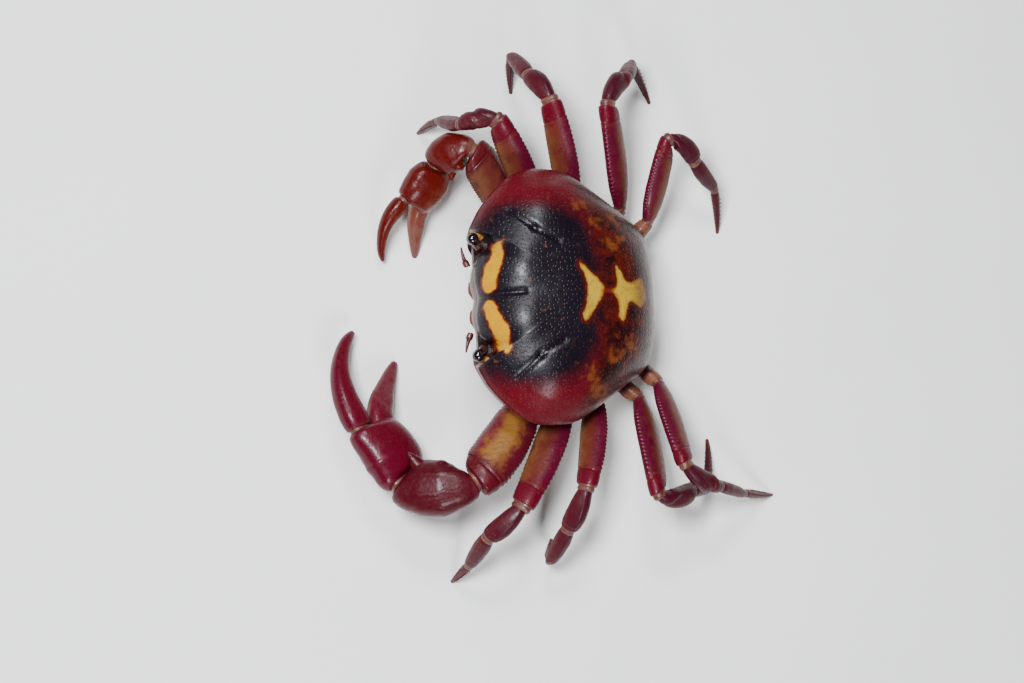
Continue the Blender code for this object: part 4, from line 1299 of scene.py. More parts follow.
@dataclass
class TailFlap:
    """The tail, folded from the rear edge round under the breast plate, in overlapping rings."""

    thickness: float = 0.9
    route: tuple[Point2, ...] = (
        (12.6, 4.6), (12.9, 3.2), (12.6, 1.0), (11.2, -0.85), (8.0, -0.85), (3.0, -0.85), (-2.6, -0.85),
    )
    half_widths: tuple[float, ...] = (4.6, 5.0, 4.9, 4.4, 3.9, 2.9, 1.0)
    plates: int = 6
    stations: int = 120
    sides: int = 56

    def build(self, finishes: Finishes) -> None:
        """Make the tail flap.

        Args:
            finishes: The crab's materials.
        """
        line = Route([(0.0, y, z) for y, z in self.route])
        c, n = circle(self.sides)
        across = Vector((1, 0, 0))
        rings = []
        for k in range(self.stations):
            s = k / (self.stations - 1)
            (wide,) = smooth([(w,) for w in self.half_widths], s)
            step = (s * self.plates) % 1.0
            thin = squared(c, 3.5) * (self.thickness / 2) * (0.9 + 0.1 * step)
            wide = squared(n, 3.5) * wide * (1 - 0.03 * (1 - step) ** 6)
            rings.append(hoop(line.at(s), across.cross(line.along(s)), thin, across, wide))
        mesh = skin(np.array(rings)).in_body()
        show(mesh.make("tail_flap_shell", finishes.underside), "underside", "abdomen")


@dataclass
class Head:
    """Eyes on their stalks, feelers, and the two shields that close the mouth."""

    eye_root: Row = (6.95, -12.65, 9.05)
    eye_ball: Row = (8.15, -13.95, 10.0)
    eye_radius: float = 0.86
    stalk_radius: float = 0.56
    feeler_root: Row = (4.7, -13.8, 6.9)
    feeler_tip: Row = (7.4, -14.75, 7.3)
    feeler_radius: float = 0.5
    shield_inner: float = 0.2
    shield_outer: float = 3.9
    shield_thickness: float = 1.15
    shield_back: float = -6.1
    shield_front: float = -12.4
    shield_drop: float = 0.5
    stalk_table: tuple[Row, ...] = (
        (0.0, 0.8), (0.12, 0.97), (0.3, 1.0), (0.55, 0.92), (0.7, 0.95), (0.85, 1.15), (1.0, 1.32),
    )
    feeler_table: tuple[Row, ...] = (
        (0.0, 0.85), (0.1, 1.0), (0.27, 0.97), (0.33, 0.7), (0.36, 0.62), (0.6, 0.5), (1.0, 0.22),
    )
    shield_table: tuple[Row, ...] = (
        (0.0, 0.62), (0.12, 0.9), (0.35, 1.0), (0.6, 0.98), (0.66, 0.9), (0.7, 0.98), (0.9, 0.85), (1.0, 0.5),
    )

    def mirrored(self, point: Row, side: Side) -> Vector:
        """A left-hand point on this side."""
        return Vector((point[0] * side.value, point[1], point[2]))

    def lathe(self, root: Vector, line: Vector, rows: Sequence[Point2], sides: int = 40) -> Mesh:
        """A turned body.

        Args:
            root: Where it starts.
            line: The way it points.
            rows: Distance along and radius.
            sides: Points in a ring.

        Returns:
            The mesh, in the crab's frame, with the field along.
        """
        up = upright_to(line)
        c, n = circle(sides)
        ring = hoop((0, 0, 0), up.cross(line), c, up, n)
        rings = np.array([np.array(root + line * reach) + ring * radius for reach, radius in rows])
        return skin(rings, {"along": np.array([[reach] for reach, _ in rows])}).in_body()

    def eye(self, side: Side, finishes: Finishes) -> None:
        """One eye: a glossy ball and the stalk that carries it.

        Args:
            side: The crab's side.
            finishes: The crab's materials.
        """
        root, ball = self.mirrored(self.eye_root, side), self.mirrored(self.eye_ball, side)
        line = (ball - root).normalized()
        length = (ball - root).length
        turns = [math.radians(-58 + 146 * k / 22) for k in range(23)]
        ball_rows = [(math.sin(a), max(math.cos(a), 0.02)) for a in turns]
        rows = [(length + self.eye_radius * reach, self.eye_radius * wide) for reach, wide in ball_rows]
        globe = self.lathe(root, line, rows)
        show(globe.make(f"eye_ball_{side.word}", finishes.eye), "eye", f"eye_{side.word}")
        rows = [(s * (length - 0.35), share * self.stalk_radius) for s, share in self.stalk_table]
        stalk = self.lathe(root, line, [smooth(rows, k / 24) for k in range(25)])
        show(stalk.make(f"eye_stalk_{side.word}", finishes.stalk), "eye")

    def feeler(self, side: Side, finishes: Finishes) -> None:
        """One short feeler: a stout root joint and a whip of rings.

        Args:
            side: The crab's side.
            finishes: The crab's materials.
        """
        root, tip = self.mirrored(self.feeler_root, side), self.mirrored(self.feeler_tip, side)
        line = (tip - root).normalized()
        up = upright_to(line)
        c, n = circle(24)
        ring = hoop((0, 0, 0), up.cross(line), c, up, n)
        rings = []
        for k in range(70):
            s = k / 69
            (share,) = profile(self.feeler_table, s, 0.02)
            ringed = 1 + (0.08 * math.sin(s * 120) if s > 0.36 else 0.0)
            sag = Vector((0, 0, -0.35 * math.sin(math.pi * s)))
            rings.append(np.array(root.lerp(tip, s) + sag) + ring * share * ringed * self.feeler_radius)
        mesh = skin(np.array(rings)).in_body()
        show(mesh.make(f"feeler_whip_{side.word}", finishes.feeler), "feeler", f"feeler_{side.word}")

    def shield(self, side: Side, sternum: Sternum, finishes: Finishes) -> None:
        """One mouth shield: a grooved plate in two lengths.

        Args:
            side: The crab's side.
            sternum: The breast plate that it lies before.
            finishes: The crab's materials.
        """
        middle = (self.shield_inner + self.shield_outer) / 2 * side.value
        half = (self.shield_outer - self.shield_inner) / 2
        c, n = circle(48)
        groove = 1 - 0.18 * bell(c, -0.35, 0.16) * (n < 0)
        normal = Vector((0, -1, sternum.mouth_rise)).normalized()
        up = upright_to(normal)
        rings = []
        for k in range(60):
            s = k / 59
            (share,) = profile(self.shield_table, s, 0.025)
            y = self.shield_back + (self.shield_front - self.shield_back) * s
            centre = (middle, y, sternum.floor(y) - self.shield_thickness / 2 - self.shield_drop)
            thick = self.shield_thickness / 2 * (0.75 + 0.25 * share)
            wide, high = squared(c, 3) * half * share, squared(n, 3) * thick * groove
            rings.append(hoop(centre, up.cross(normal), wide, up, high))
        mesh = skin(np.array(rings)).in_body()
        show(mesh.make(f"mouth_plate_{side.word}", finishes.mouth), "mouthparts", f"mouth_shield_{side.word}")

    def build(self, sternum: Sternum, finishes: Finishes) -> None:
        """Make both sides of the head."""
        for side in Side:
            self.eye(side, finishes)
            self.feeler(side, finishes)
            self.shield(side, sternum, finishes)


@dataclass
class Joint:
    """A face between two lengths of a limb: its place and the direction across it."""

    place: Vector
    normal: Vector

    def before(self) -> Vector:
        """The end of the length before the joint."""
        return self.place - self.normal * HALF_GAP

    def after(self) -> Vector:
        """The start of the length after the joint."""
        return self.place + self.normal * HALF_GAP


def lean_up(line: Vector, lean: float) -> Vector:
    """The direction square to a line that is turned from upright towards the rear.

    Args:
        line: The limb's line.
        lean: Degrees from upright.

    Returns:
        The direction.
    """
    up = upright_to(line)
    back = line.cross(up)
    if back.y < 0:
        back = -back
    return up * math.cos(math.radians(lean)) + back * math.sin(math.radians(lean))


def chain(points: Sequence[Vector], leave: Vector, carries: Sequence[float]) -> list[tuple[Vector, Vector]]:
    """Directions at both ends of each length of a limb.

    Args:
        points: The limb's joints in order.
        leave: The direction that it leaves the body in.
        carries: How much of the direction before it each length keeps at its start.

    Returns:
        For each length, its direction at the start and at the end.
    """
    directions = []
    for k in range(len(points) - 1):
        line = (points[k + 1] - points[k]).normalized()
        start = line.lerp(leave, carries[k]).normalized()
        end = (line * 2 * line.dot(start) - start).normalized()
        directions.append((start, end))
        leave = end
    return directions


def joints_of(
    points: Sequence[Vector], normal: Vector, directions: Sequence[tuple[Vector, Vector]]
) -> list[Joint]:
    """The joint faces of a chain.

    Args:
        points: The limb's joints in order.
        normal: The way that the first face looks.
        directions: For each length, its direction at the start and at the end.

    Returns:
        The joints, less the limb's tip.
    """
    joints = [Joint(points[0], normal)]
    for k in range(1, len(points) - 1):
        joints.append(Joint(points[k], (directions[k - 1][1] + directions[k][0]).normalized()))
    return joints


def sleeve(joint: Joint, up: Vector, size: Point2, reach: float = 0.75) -> Mesh:
    """The soft skin inside a joint: a short folded tube that reaches into both lengths.

    Args:
        joint: The joint.
        up: The limb's crest direction.
        size: Half width and half height of the tube.
        reach: How far it runs into each length.

    Returns:
        The mesh.
    """
    line = Route([joint.place - joint.normal * reach, joint.place, joint.place + joint.normal * reach])
    table = ((0.0, 0.8, 0.8, 0.0), (0.3, 0.98, 0.98, 0.0), (0.5, 0.9, 0.9, 0.0), (0.7, 0.98, 0.98, 0.0),
             (1.0, 0.8, 0.8, 0.0))
    return Tube(line, table, size, up).mesh(14, 28, ends=0.1)


BASE_TABLE: tuple[Row, ...] = (
    (0, 0.95, 0.95, 0), (0.2, 1.05, 1.05, 0), (0.42, 1, 1, 0), (0.5, 0.8, 0.8, 0), (0.6, 0.9, 0.92, 0),
    (0.85, 0.9, 0.92, 0), (1, 0.78, 0.8, 0),
)


@dataclass(frozen=True)
class LegPose:
    """How one walking leg is held: where its long joint starts, then each length's run and direction."""

    number: int
    side: Side
    start: Row
    merus: Row
    carpus: Row
    propodus: Row
    dactylus: Row
    crest_lean: float
    merus_height: float
    size: float = 1.0

    @property
    def name(self) -> str:
        """The name that the leg's nodes start with."""
        return f"leg_{self.number}_{self.side.word}"


@dataclass
class WalkingLegs:
    """The eight walking legs, each of five lengths."""

    poses: tuple[LegPose, ...] = (
        LegPose(2, Side.RIGHT, (-12.5, -0.9, 7.0), (16.6, -151, 31.5), (5.2, -92, -33), (6.4, -128, -64),
                (7.4, -80), 52, 2.1),
        LegPose(3, Side.RIGHT, (-12.9, 4.0, 7.3), (17.0, -166, 25), (5.5, -152, -29), (6.5, -160, -50),
                (7.9, 14), 50, 1.95),
        LegPose(4, Side.RIGHT, (-13.4, 11.0, 7.5), (15.6, -170, 26), (6.4, 143, -28), (6.3, 143, -53),
                (8.6, 42), -48, 2.0),
        LegPose(5, Side.RIGHT, (-11.5, 15.0, 7.4), (12.4, 168, 29), (5.6, 61, -28), (7.2, 51, -44),
                (8.2, 17), -50, 1.8, 0.95),
        LegPose(2, Side.LEFT, (12.6, 1.6, 7.5), (19.3, -26.7, 18.2), (6.4, -48, -23), (7.1, -29, -56),
                (5.8, -40), 62, 2.2),
        LegPose(3, Side.LEFT, (13.0, 5.8, 7.2), (15.4, -13, 24), (6.6, -22, -27), (6.8, -23, -48),
                (6.4, 157), 52, 1.85),
        LegPose(4, Side.LEFT, (13.9, 12.2, 7.3), (15.3, 3.3, 23), (6.8, 95, -36), (5.8, 100, -51),
                (8.8, 166), -48, 2.05),
        LegPose(5, Side.LEFT, (11.9, 15.2, 7.4), (13.9, 8, 28), (7.0, 61, -30), (7.1, 80, -45),
                (8.0, 89), -50, 1.85, 0.95),
    )
    first_number: int = 2
    root_along: tuple[float, ...] = (-0.8, 3.0, 6.7, 9.6)
    root_height: tuple[float, ...] = (1.6, 1.6, 1.7, 1.9)
    carries: tuple[float, ...] = (0.25, 0.1, 0.34, 0.12, 0.22)
    sizes: dict[Part, Point2] = field(default_factory=lambda: {
        Part.BASE: (1.3, 1.4),
        Part.MERUS: (1.15, 1.0),
        Part.CARPUS: (1.12, 1.42),
        Part.PROPODUS: (0.95, 1.2),
        Part.DACTYLUS: (0.62, 0.7),
    })
    tables: dict[Part, tuple[Row, ...]] = field(default_factory=lambda: {
        Part.BASE: BASE_TABLE,
        Part.MERUS: ((0, 0.66, 0.56, 0), (0.08, 0.85, 0.7, 0.05), (0.22, 0.97, 0.9, 0.2), (0.42, 1, 1, 0.28),
                     (0.68, 0.98, 0.96, 0.28), (0.86, 0.98, 0.88, 0.15), (0.94, 1.06, 0.88, 0.05),
                     (1, 0.95, 0.78, 0)),
        Part.CARPUS: ((0, 0.68, 0.62, 0), (0.12, 0.86, 0.8, 0), (0.35, 1, 0.96, 0.1),
                      (0.65, 1.05, 1.04, 0.15),
                      (0.88, 1.02, 1, 0.05), (1, 0.88, 0.86, 0)),
        Part.PROPODUS: ((0, 0.72, 0.72, 0), (0.12, 0.92, 0.94, 0), (0.35, 1, 1, 0.1), (0.7, 0.92, 0.9, 0.1),
                        (0.9, 0.82, 0.8, 0), (1, 0.72, 0.7, 0)),
        Part.DACTYLUS: ((0, 0.74, 0.74, 0), (0.1, 0.96, 0.96, 0), (0.3, 0.94, 0.92, 0), (0.6, 0.74, 0.72, 0),
                        (0.85, 0.54, 0.5, 0), (1, 0.42, 0.4, 0)),
    })
    crest_teeth: int = 24
    spine_rows: int = 5
    spines_in_row: int = 7

    def points(self, pose: LegPose, sternum: Sternum) -> tuple[list[Vector], Vector]:
        """The leg's joints from its root to its tip on the floor.

        Args:
            pose: How the leg is held.
            sternum: The breast plate that it starts beside.

        Returns:
            The joints and the direction of the root.
        """
        number = pose.number - self.first_number
        root, outward = sternum.root(self.root_along[number], self.root_height[number], pose.side)
        points = [root, Vector(pose.start)]
        for length, azimuth, elevation in (pose.merus, pose.carpus, pose.propodus):
            points.append(points[-1] + aim(azimuth, elevation) * length)
        length, azimuth = pose.dactylus
        elevation = -math.degrees(math.asin(min(points[-1].z / length, 0.98)))
        tip = points[-1] + aim(azimuth, elevation) * length
        points.append(Vector((tip.x, tip.y, 0.0)))
        return points, outward

    def relief(self, part: Part) -> Relief:
        """The finer forms of one kind of length.

        Args:
            part: Which length.

        Returns:
            The function that gives them.
        """

        def merus(s: np.ndarray, c: np.ndarray, n: np.ndarray) -> np.ndarray:
            """Teeth along the crest, the seam before the far end and grain below."""
            teeth = saw_teeth(s, self.crest_teeth, 0.7) * np.clip((n - 0.93) / 0.07, 0, 1)
            grain = np.clip((-n - 0.9) / 0.1, 0, 1) * np.sin(s * 150)
            seam = bell(s - 0.02 * n, 0.85, 0.006)
            return 0.16 * teeth * span(s, 0.06, 0.14, 0.84, 0.88) - 0.09 * seam + 0.06 * grain

        def carpus(s: np.ndarray, c: np.ndarray, n: np.ndarray) -> np.ndarray:
            """A ridge and a seam."""
            return 0.10 * bell(n, 0.55, 0.13) * span(s, 0.05, 0.3, 0.8, 0.97) - 0.08 * bell(s, 0.9, 0.012)

        def propodus(s: np.ndarray, c: np.ndarray, n: np.ndarray) -> np.ndarray:
            """Two ridges."""
            return 0.06 * (bell(n, 0.5, 0.14) + bell(n, -0.5, 0.16)) * span(s, 0.05, 0.3, 0.75, 0.95)

        def dactylus(s: np.ndarray, c: np.ndarray, n: np.ndarray) -> np.ndarray:
            """The ribs that carry the spines."""
            return 0.035 * np.cos(np.arctan2(n, c) * self.spine_rows) * span(s, 0.08, 0.25, 0.8, 1.0)

        def base(s: np.ndarray, c: np.ndarray, n: np.ndarray) -> np.ndarray:
            """A seam and shallow folds."""
            return 0.03 * np.sin(s * 30 + 3 * n) - 0.10 * bell(s, 0.72, 0.02)

        return {Part.MERUS: merus, Part.CARPUS: carpus, Part.PROPODUS: propodus, Part.DACTYLUS: dactylus,
                Part.BASE: base}[part]

    def spines(self, tube: Tube, size: float) -> list[Mesh]:
        """Rows of spines along a leg's tip.

        Args:
            tube: The tip's length.
            size: The leg's size against the others.

        Returns:
            The spines that clear the floor.
        """
        made = []
        for row in range(self.spine_rows):
            angle = math.pi / 2 + 2 * math.pi * row / self.spine_rows
            for k in range(self.spines_in_row):
                s = 0.2 + 0.64 * (k + 0.35 * (row % 2)) / self.spines_in_row
                root, outward = tube.surface(s, angle, -0.12)
                length = (0.62 - 0.3 * s) * size
                tip = root + (outward * 0.62 + tube.line.along(s) * 0.78) * length
                if tip.z > 0.05:
                    made.append(cone(root, tip, 0.11 * size))
        return made

    def build_leg(self, pose: LegPose, sternum: Sternum, finishes: Finishes) -> None:
        """Make one leg's five lengths and the soft skin of its joints.

        Args:
            pose: How the leg is held.
            sternum: The breast plate that it starts beside.
            finishes: The crab's materials.
        """
        points, outward = self.points(pose, sternum)
        directions = chain(points, outward, self.carries)
        joints = joints_of(points, outward, directions)
        crest = lean_up((points[2] - points[1]).normalized(), pose.crest_lean)
        looks = {
            Part.BASE: (finishes.base, "joint_base", 50, 40),
            Part.MERUS: (finishes.merus, "leg", 150, 56),
            Part.CARPUS: (finishes.leg, "leg", 60, 44),
            Part.PROPODUS: (finishes.leg, "leg", 60, 44),
            Part.DACTYLUS: (finishes.dactylus, "leg_tip", 60, 36),
        }
        folds = []
        for k, part in enumerate(Part):
            tip = part is Part.DACTYLUS
            start = joints[k].place if k == 0 else joints[k].after()
            end, last = (points[k + 1], -UPRIGHT) if tip else (joints[k + 1].before(), joints[k + 1].normal)
            width, height = self.sizes[part]
            high = pose.merus_height if part is Part.MERUS else height * pose.size
            size = (width * pose.size, high)
            line = Path(start, end, *directions[k])
            tube = Tube(line, self.tables[part], size, crest, joints[k].normal, last)
            finish, slot, stations, sides = looks[part]
            mesh = tube.mesh(stations, sides, self.relief(part), ends=0.04 if tip else 0.22)
            if tip:
                mesh = merged([mesh, *self.spines(tube, pose.size)]).on_floor()
            else:
                width, height, _ = between(self.tables[part], 1.0)
                folds.append(sleeve(joints[k + 1], crest, (width * size[0] * 0.9, height * size[1] * 0.9)))
            node = f"{pose.name}_{part.value}"
            show(mesh.make(f"{node}_shell", finish), slot, node)
        show(merged(folds).make(f"{pose.name}_joint_skin", finishes.membrane), "joint_base")

    def build(self, sternum: Sternum, finishes: Finishes) -> None:
        """Make all eight legs."""
        for pose in self.poses:
            self.build_leg(pose, sternum, finishes)


@dataclass(frozen=True)
class ClawPose:
    """How one claw is held, and its shape in the plane of its own hand."""

    side: Side
    start: Row
    elbow: Row
    hand: Row
    azimuth: float
    elevation: float
    lean: float
    palm: tuple[Point2, ...]
    finger: tuple[Point2, ...]
    thumb: tuple[Point2, ...]
    arm_size: Point2
    arm_lean: float
    wrist_size: Point2
    palm_size: Point2
    finger_size: Point2
    thumb_size: Point2
    teeth: int

    @property
    def name(self) -> str:
        """The name that the claw's nodes start with."""
        return f"claw_{self.side.word}"


@dataclass
class Claws:
    """The two claws, the left one larger."""

    poses: tuple[ClawPose, ...] = (
        ClawPose(
            side=Side.LEFT, start=(12.4, -3.3, 7.5), elbow=(25.3, -12.7, 11.3), hand=(24.5, -21.9, 7.0),
            azimuth=-158, elevation=-8, lean=58,
            palm=((0.0, 0.3), (4.4, 0.1), (8.9, 1.8)),
            finger=((9.2, 3.3), (13.9, 3.2), (17.9, 1.9), (21.2, -0.8), (22.9, -3.5)),
            thumb=((7.0, -0.4), (10.2, -1.3), (13.0, -3.7), (16.9, -8.2)),
            arm_size=(2.1, 3.3), arm_lean=72, wrist_size=(4.0, 3.1), palm_size=(2.8, 4.7),
            finger_size=(1.75, 2.15), thumb_size=(1.45, 2.1), teeth=6,
        ),
        ClawPose(
            side=Side.RIGHT, start=(-12.4, -5.15, 6.55), elbow=(-21.5, -10.7, 11.6), hand=(-20.8, -15.9, 8.0),
            azimuth=-42, elevation=-13, lean=52,
            palm=((0.0, -1.4), (3.4, -1.9), (6.7, -2.0)),
            finger=((7.02, -0.7), (9.6, -0.6), (12.0, -1.4), (14.2, -3.1), (15.5, -4.9)),
            thumb=((5.0, -3.4), (7.2, -4.3), (9.4, -6.1), (12.2, -8.9)),
            arm_size=(1.7, 2.7), arm_lean=104, wrist_size=(2.9, 2.4), palm_size=(2.2, 3.4),
            finger_size=(1.25, 1.35), thumb_size=(1.15, 1.5), teeth=5,
        ),
    )
    root_along: float = -5.0
    root_height: float = 1.9
    base_size: Point2 = (1.75, 1.75)
    carries: tuple[float, ...] = (0.2, 0.12, 0.36, 0.15)
    arm_table: tuple[Row, ...] = (
        (0, 0.62, 0.46, 0), (0.12, 0.8, 0.62, 0), (0.32, 0.98, 0.88, 0.2), (0.6, 1, 1, 0.3),
        (0.84, 1, 1.0, 0.2), (0.94, 0.99, 0.93, 0), (1, 0.84, 0.78, 0),
    )
    wrist_table: tuple[Row, ...] = (
        (0, 0.48, 0.54, 0), (0.16, 0.72, 0.77, 0), (0.42, 1, 1, 0), (0.68, 1, 1, 0), (0.88, 0.9, 0.9, 0),
        (1, 0.76, 0.76, 0),
    )
    palm_table: tuple[Row, ...] = (
        (0, 0.56, 0.58, 0), (0.14, 0.82, 0.8, 0), (0.38, 1, 1, 0), (0.66, 0.98, 0.94, 0),
        (0.88, 0.84, 0.82, 0), (1, 0.7, 0.72, 0),
    )
    finger_table: tuple[Row, ...] = (
        (0, 0.82, 0.84, 0), (0.1, 0.98, 0.96, 0), (0.3, 0.86, 0.8, 0), (0.6, 0.62, 0.56, 0),
        (0.85, 0.42, 0.38, 0), (1, 0.2, 0.17, 0),
    )
    thumb_table: tuple[Row, ...] = (
        (0, 1, 1, 0), (0.3, 1, 0.96, 0), (0.6, 0.8, 0.86, 0), (0.85, 0.52, 0.5, 0), (1, 0.28, 0.22, 0),
    )
    wrist_teeth: tuple[Row, ...] = ((0.86, 0.62, 0.5, 0.34), (0.5, 0.8, 0.16, 0.3))
    arm_teeth: int = 26
    voxel: float = 0.13

    def melted(self, meshes: Sequence[Mesh], smoothing: int) -> Mesh:
        """Closed meshes melted into one skin.

        Args:
            meshes: The meshes, which overlap where they join.
            smoothing: Rounds of smoothing over the joins.

        Returns:
            One mesh without fields.
        """
        joined = merged(meshes)
        data = bpy.data.meshes.new("melt")
        data.from_pydata(joined.points.tolist(), [], joined.faces)
        face_out(data)
        piece = placed("melt", data)
        remesh = piece.modifiers.new("remesh", "REMESH")
        remesh.mode = "VOXEL"
        remesh.voxel_size = self.voxel
        soften = piece.modifiers.new("soften", "SMOOTH")
        soften.factor = 0.5
        soften.iterations = smoothing
        done = bpy.data.meshes.new_from_object(piece.evaluated_get(bpy.context.evaluated_depsgraph_get()))
        points = np.zeros(len(done.vertices) * 3, np.float32)
        done.vertices.foreach_get("co", points)
        faces = [tuple(polygon.vertices) for polygon in done.polygons]
        bpy.data.objects.remove(piece)
        bpy.data.meshes.remove(data)
        bpy.data.meshes.remove(done)
        return Mesh(points.reshape(-1, 3).astype(float), faces)

    def blended(self, tube: Tube, meshes: Sequence[Mesh], smoothing: int) -> Mesh:
        """A length and what grows from it as one skin, with the length's fields.

        Args:
            tube: The length.
            meshes: Its mesh and the others, which overlap where they join.
            smoothing: Rounds of smoothing over the joins.

        Returns:
            The mesh, with nothing below the floor.
        """
        mesh = self.melted(meshes, smoothing)
        places = np.linspace(0, 1, 60)
        centres = np.array([tube.line.at(s) for s in places])
        frames = np.array([tube.frame(s) for s in places])
        nearest = np.argmin(((mesh.points[:, None] - centres[None]) ** 2).sum(2), axis=1)
        _, ups, sides = frames[nearest].transpose(1, 0, 2)
        away = mesh.points - centres[nearest]
        x, y = (away * sides).sum(1) / tube.size[0], (away * ups).sum(1) / tube.size[1]
        size = np.maximum(np.hypot(x, y), 1e-6)
        mesh.fields.update(along=places[nearest], crest=y / size, face=x / size)
        return mesh.on_floor()

    def biting_teeth(self, tube: Tube, into: Vector, count: int) -> list[Mesh]:
        """Blunt teeth along the biting edge of a finger, uneven in size as real ones are.

        Args:
            tube: The finger.
            into: The direction out of its biting edge.
            count: How many large teeth there are, with a small one between each two.

        Returns:
            The teeth.
        """
        made = []
        for k in range(count * 2 - 1):
            s = 0.3 + 0.5 * k / (count * 2 - 2)
            _, height, _ = between(tube.table, s)
            edge = tube.line.at(s) + into * (height * tube.size[1] - 0.25)
            big = (0.42 if (k // 2) % 3 == 1 else 0.3) * (1.0 if k % 2 == 0 else 0.55)
            made.append(cone(edge - into * 0.25, edge + into * (big * 1.2 + 0.1), big * 1.1, 12))
        return made

    def wrist_spines(self, pose: ClawPose, tube: Tube) -> list[Mesh]:
        """The sharp inner tooth of the wrist and the blunt one behind it.

        Args:
            pose: How the claw is held.
            tube: The wrist.

        Returns:
            The two teeth.
        """
        reach, thick = pose.wrist_size
        made = []
        for s, out, length, radius in self.wrist_teeth:
            line = tube.line.along(s)
            level = Vector((line.x, line.y, 0)).normalized()
            inward = Vector((-pose.side.value, 0, 0))
            inward = (inward - level * inward.dot(level)).normalized()
            start = tube.line.at(s) + inward * reach * out + Vector((0, 0, thick * 0.5))
            forward = 0.85 if length > 0.3 else 0.2
            tip = start + (level * forward + inward * 0.5) * reach * length * 1.5
            tip += Vector((0, 0, thick * 0.14))
            made.append(cone(start - (tip - start) * 0.3, tip, reach * radius, 16))
        return made

    def arm_relief(self, s: np.ndarray, c: np.ndarray, n: np.ndarray) -> np.ndarray:
        """Teeth along both edges of the arm and the seam before its far end."""
        teeth = saw_teeth(s, self.arm_teeth, 0.65) * np.clip((np.abs(n) - 0.93) / 0.07, 0, 1)
        return 0.2 * teeth * span(s, 0.1, 0.2, 0.84, 0.9) - 0.12 * bell(s, 0.88, 0.008)

    def build_claw(self, pose: ClawPose, sternum: Sternum, finishes: Finishes) -> None:
        """Make one claw: base, arm, wrist, palm with its fixed finger, moving finger and joint skin.

        Args:
            pose: How the claw is held.
            sternum: The breast plate that it starts beside.
            finishes: The crab's materials.
        """
        root, outward = sternum.root(self.root_along, self.root_height, pose.side)
        way = aim(pose.azimuth, pose.elevation)
        up = upright_to(way)
        front = way.cross(up)
        front = -front if front.y > 0 else front
        lean = math.radians(pose.lean)
        finger_side = up * math.cos(lean) + front * math.sin(lean)

        def in_hand(route: Sequence[Point2]) -> list[Vector]:
            """Points of the hand's own plane, in the crab's frame."""
            return [Vector(pose.hand) + way * along + finger_side * aside for along, aside in route]

        def piece(part: str, mesh: Mesh, finish: bpy.types.Material, slot: str = "claw") -> None:
            """Show one length in the place of its node."""
            node = f"{pose.name}_{part}"
            show(mesh.make(f"{node}_shell", finish), slot, node)

        palm_route = in_hand(pose.palm)
        points = [root, Vector(pose.start), Vector(pose.elbow), palm_route[0], palm_route[-1]]
        directions = chain(points, outward, self.carries)
        joints = joints_of(points, outward, directions)
        faces = [joint.normal for joint in joints]
        crest = lean_up((points[2] - points[1]).normalized(), pose.arm_lean)

        line = Path(joints[0].place, joints[1].before(), *directions[0])
        base = Tube(line, BASE_TABLE, self.base_size, UPRIGHT, faces[0], faces[1])
        piece("base", base.mesh(50, 48), finishes.base, "joint_base")

        line = Path(joints[1].after(), joints[2].before(), *directions[1])
        arm = Tube(line, self.arm_table, pose.arm_size, crest, faces[1], faces[2])
        piece("arm", arm.mesh(170, 72, self.arm_relief, 0.4), finishes.arm[pose.side])

        line = Path(joints[2].after(), joints[3].before(), *directions[2])
        wrist = Tube(line, self.wrist_table, pose.wrist_size, UPRIGHT, faces[2], faces[3])
        growths = self.wrist_spines(pose, wrist)
        whole = self.blended(wrist, [wrist.mesh(70, 72, ends=0.6), *growths], 8)
        piece("wrist", whole, finishes.wrist[pose.side])

        line = Route([joints[3].after(), *palm_route[1:]])
        palm = Tube(line, self.palm_table, pose.palm_size, finger_side, faces[3], way)
        thumb = Tube(Route(in_hand(pose.thumb)), self.thumb_table, pose.thumb_size, finger_side)
        growths = [thumb.mesh(80, 48, ends=0.1), *self.biting_teeth(thumb, finger_side, pose.teeth)]
        whole = self.blended(palm, [palm.mesh(70, 72, ends=0.6), *growths], 8)
        piece("palm", whole, finishes.hand[pose.side])

        line = Route(in_hand(pose.finger))
        finger = Tube(line, self.finger_table, pose.finger_size, finger_side, first=way)
        growths = self.biting_teeth(finger, -finger_side, pose.teeth)
        whole = self.blended(finger, [finger.mesh(110, 48, ends=0.3), *growths], 5)
        piece("finger", whole, finishes.hand[pose.side])

        knuckle = Joint(line.at(0.0) - way * 0.1, way)
        folds = [
            sleeve(joint, crest_way, (size[0] * wide, size[1] * high), reach)
            for joint, crest_way, size, wide, high, reach in (
                (joints[1], crest, pose.arm_size, 0.6, 0.45, 0.75),
                (joints[2], UPRIGHT, pose.wrist_size, 0.42, 0.48, 1.2),
                (joints[3], finger_side, pose.palm_size, 0.5, 0.52, 1.2),
                (knuckle, finger_side, pose.finger_size, 0.72, 0.74, 0.9),
            )
        ]
        show(merged(folds).make(f"{pose.name}_joint_skin", finishes.membrane), "joint_base")

    def build(self, sternum: Sternum, finishes: Finishes) -> None:
        """Make both claws."""
        for pose in self.poses:
            self.build_claw(pose, sternum, finishes)


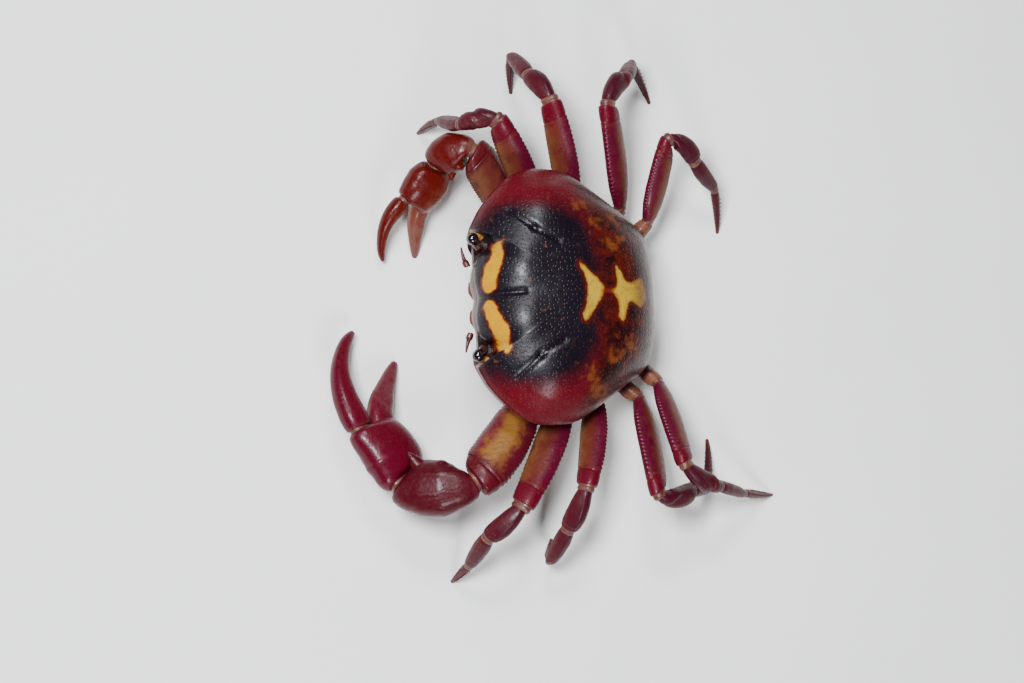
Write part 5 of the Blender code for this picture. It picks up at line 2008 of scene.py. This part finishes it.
@dataclass
class Studio:
    """The pale floor, the soft lights and the camera at the photo's angle."""

    tilt_front: float = 11.0
    tilt_left: float = 7.0
    roll: float = 3.0
    distance: float = 400.0
    aim_at: Row = (0.70, -0.75, 20.0)
    aim_pixel: Point2 = (562.0, 296.0)
    picture: Point2 = (1024.0, 683.0)
    lens: float = 102.0
    sensor: float = 36.0
    floor_size: float = 1200.0
    floor_colour: Colour = (0.93, 0.91, 0.88)
    light_colour: Colour = (0.93, 0.96, 1.0)
    lights: tuple[tuple[str, Row, float, float], ...] = (
        ("key", (-20.0, -125.0, 335.0), 90.0, 2.2),
        ("left", (255.0, 0.0, 215.0), 80.0, 0.65),
        ("right", (-190.0, -40.0, 300.0), 70.0, 0.6),
    )
    air_colour: Colour = (0.9, 0.93, 1.0)
    air_strength: float = 0.06

    def floor(self) -> None:
        """Lay a wide plain floor."""
        half = self.floor_size / 2 * MM
        mesh = bpy.data.meshes.new("studio_floor")
        corners = [(-half, -half, 0), (half, -half, 0), (half, half, 0), (-half, half, 0)]
        mesh.from_pydata(corners, [], [(0, 1, 2, 3)])
        s = Shader("studio_floor_paper", Roughness=0.8)
        tint = s.step(s.noise(30.0, 2.0), 0.3, 0.7, 0.0, 0.06)
        mesh.materials.append(s.paint(s.mix(tint, self.floor_colour, (0.5, 0.5, 0.5))))
        placed("studio_floor", mesh)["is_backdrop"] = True

    def light(self, name: str, place: Row, size: float, power: float) -> None:
        """One soft square light that looks at the crab.

        Args:
            name: The light's name.
            place: Where it hangs, in millimetres.
            size: The side of its square in millimetres.
            power: Its power in watts.
        """
        data = bpy.data.lights.new(name, "AREA")
        data.size = size * MM
        data.energy = power
        data.color = self.light_colour
        made = placed(name, data)
        made.location = Vector(place) * MM
        made.rotation_euler = (-Vector(place)).to_track_quat("-Z", "Y").to_euler()

    def camera(self) -> None:
        """Set the camera, which looks almost straight down with the crab's front to the picture's left."""
        tilts = math.tan(math.radians(self.tilt_left)), math.tan(math.radians(self.tilt_front))
        axis = Vector((tilts[0], -tilts[1], 1.0)).normalized()
        up = Vector((-1.0, 0.0, 0.0))
        up = (up - axis * up.dot(axis)).normalized()
        right = up.cross(axis)
        turn = math.radians(self.roll)
        right, up = right * math.cos(turn) - up * math.sin(turn), up * math.cos(turn) + right * math.sin(turn)
        focal = self.lens / self.sensor * self.picture[0]
        across = (self.aim_pixel[0] - self.picture[0] / 2) / focal
        above = (self.picture[1] / 2 - self.aim_pixel[1]) / focal
        ray = right * across + up * above - axis
        place = (Vector(self.aim_at) - ray * self.distance + ORIGIN_SHIFT) * MM
        data = bpy.data.cameras.new("studio_camera")
        data.lens = self.lens
        data.sensor_width = self.sensor
        data.clip_start = 0.01
        made = placed("studio_camera", data)
        made.matrix_world = Matrix((*zip(right, up, axis, place), (0, 0, 0, 1)))
        bpy.context.scene.camera = made

    def build(self) -> None:
        """Set up the floor, the lights, the air and the camera."""
        self.floor()
        for name, place, size, power in self.lights:
            self.light(name, place, size, power)
        world = bpy.data.worlds.new("studio_air")
        world.use_nodes = True
        sky = world.node_tree.nodes["Background"].inputs
        sky["Color"].default_value = (*self.air_colour, 1.0)
        sky["Strength"].default_value = self.air_strength
        bpy.context.scene.world = world
        self.camera()


def main() -> None:
    """Build the crab piece by piece, then the studio."""
    logging.basicConfig(level=logging.INFO, format="%(name)s: %(message)s")
    finishes = Finishes()
    sternum = Sternum()
    Carapace().build(finishes)
    sternum.build(finishes)
    TailFlap().build(finishes)
    Head().build(sternum, finishes)
    WalkingLegs().build(sternum, finishes)
    Claws().build(sternum, finishes)
    Studio().build()


if __name__ == "__main__":
    main()
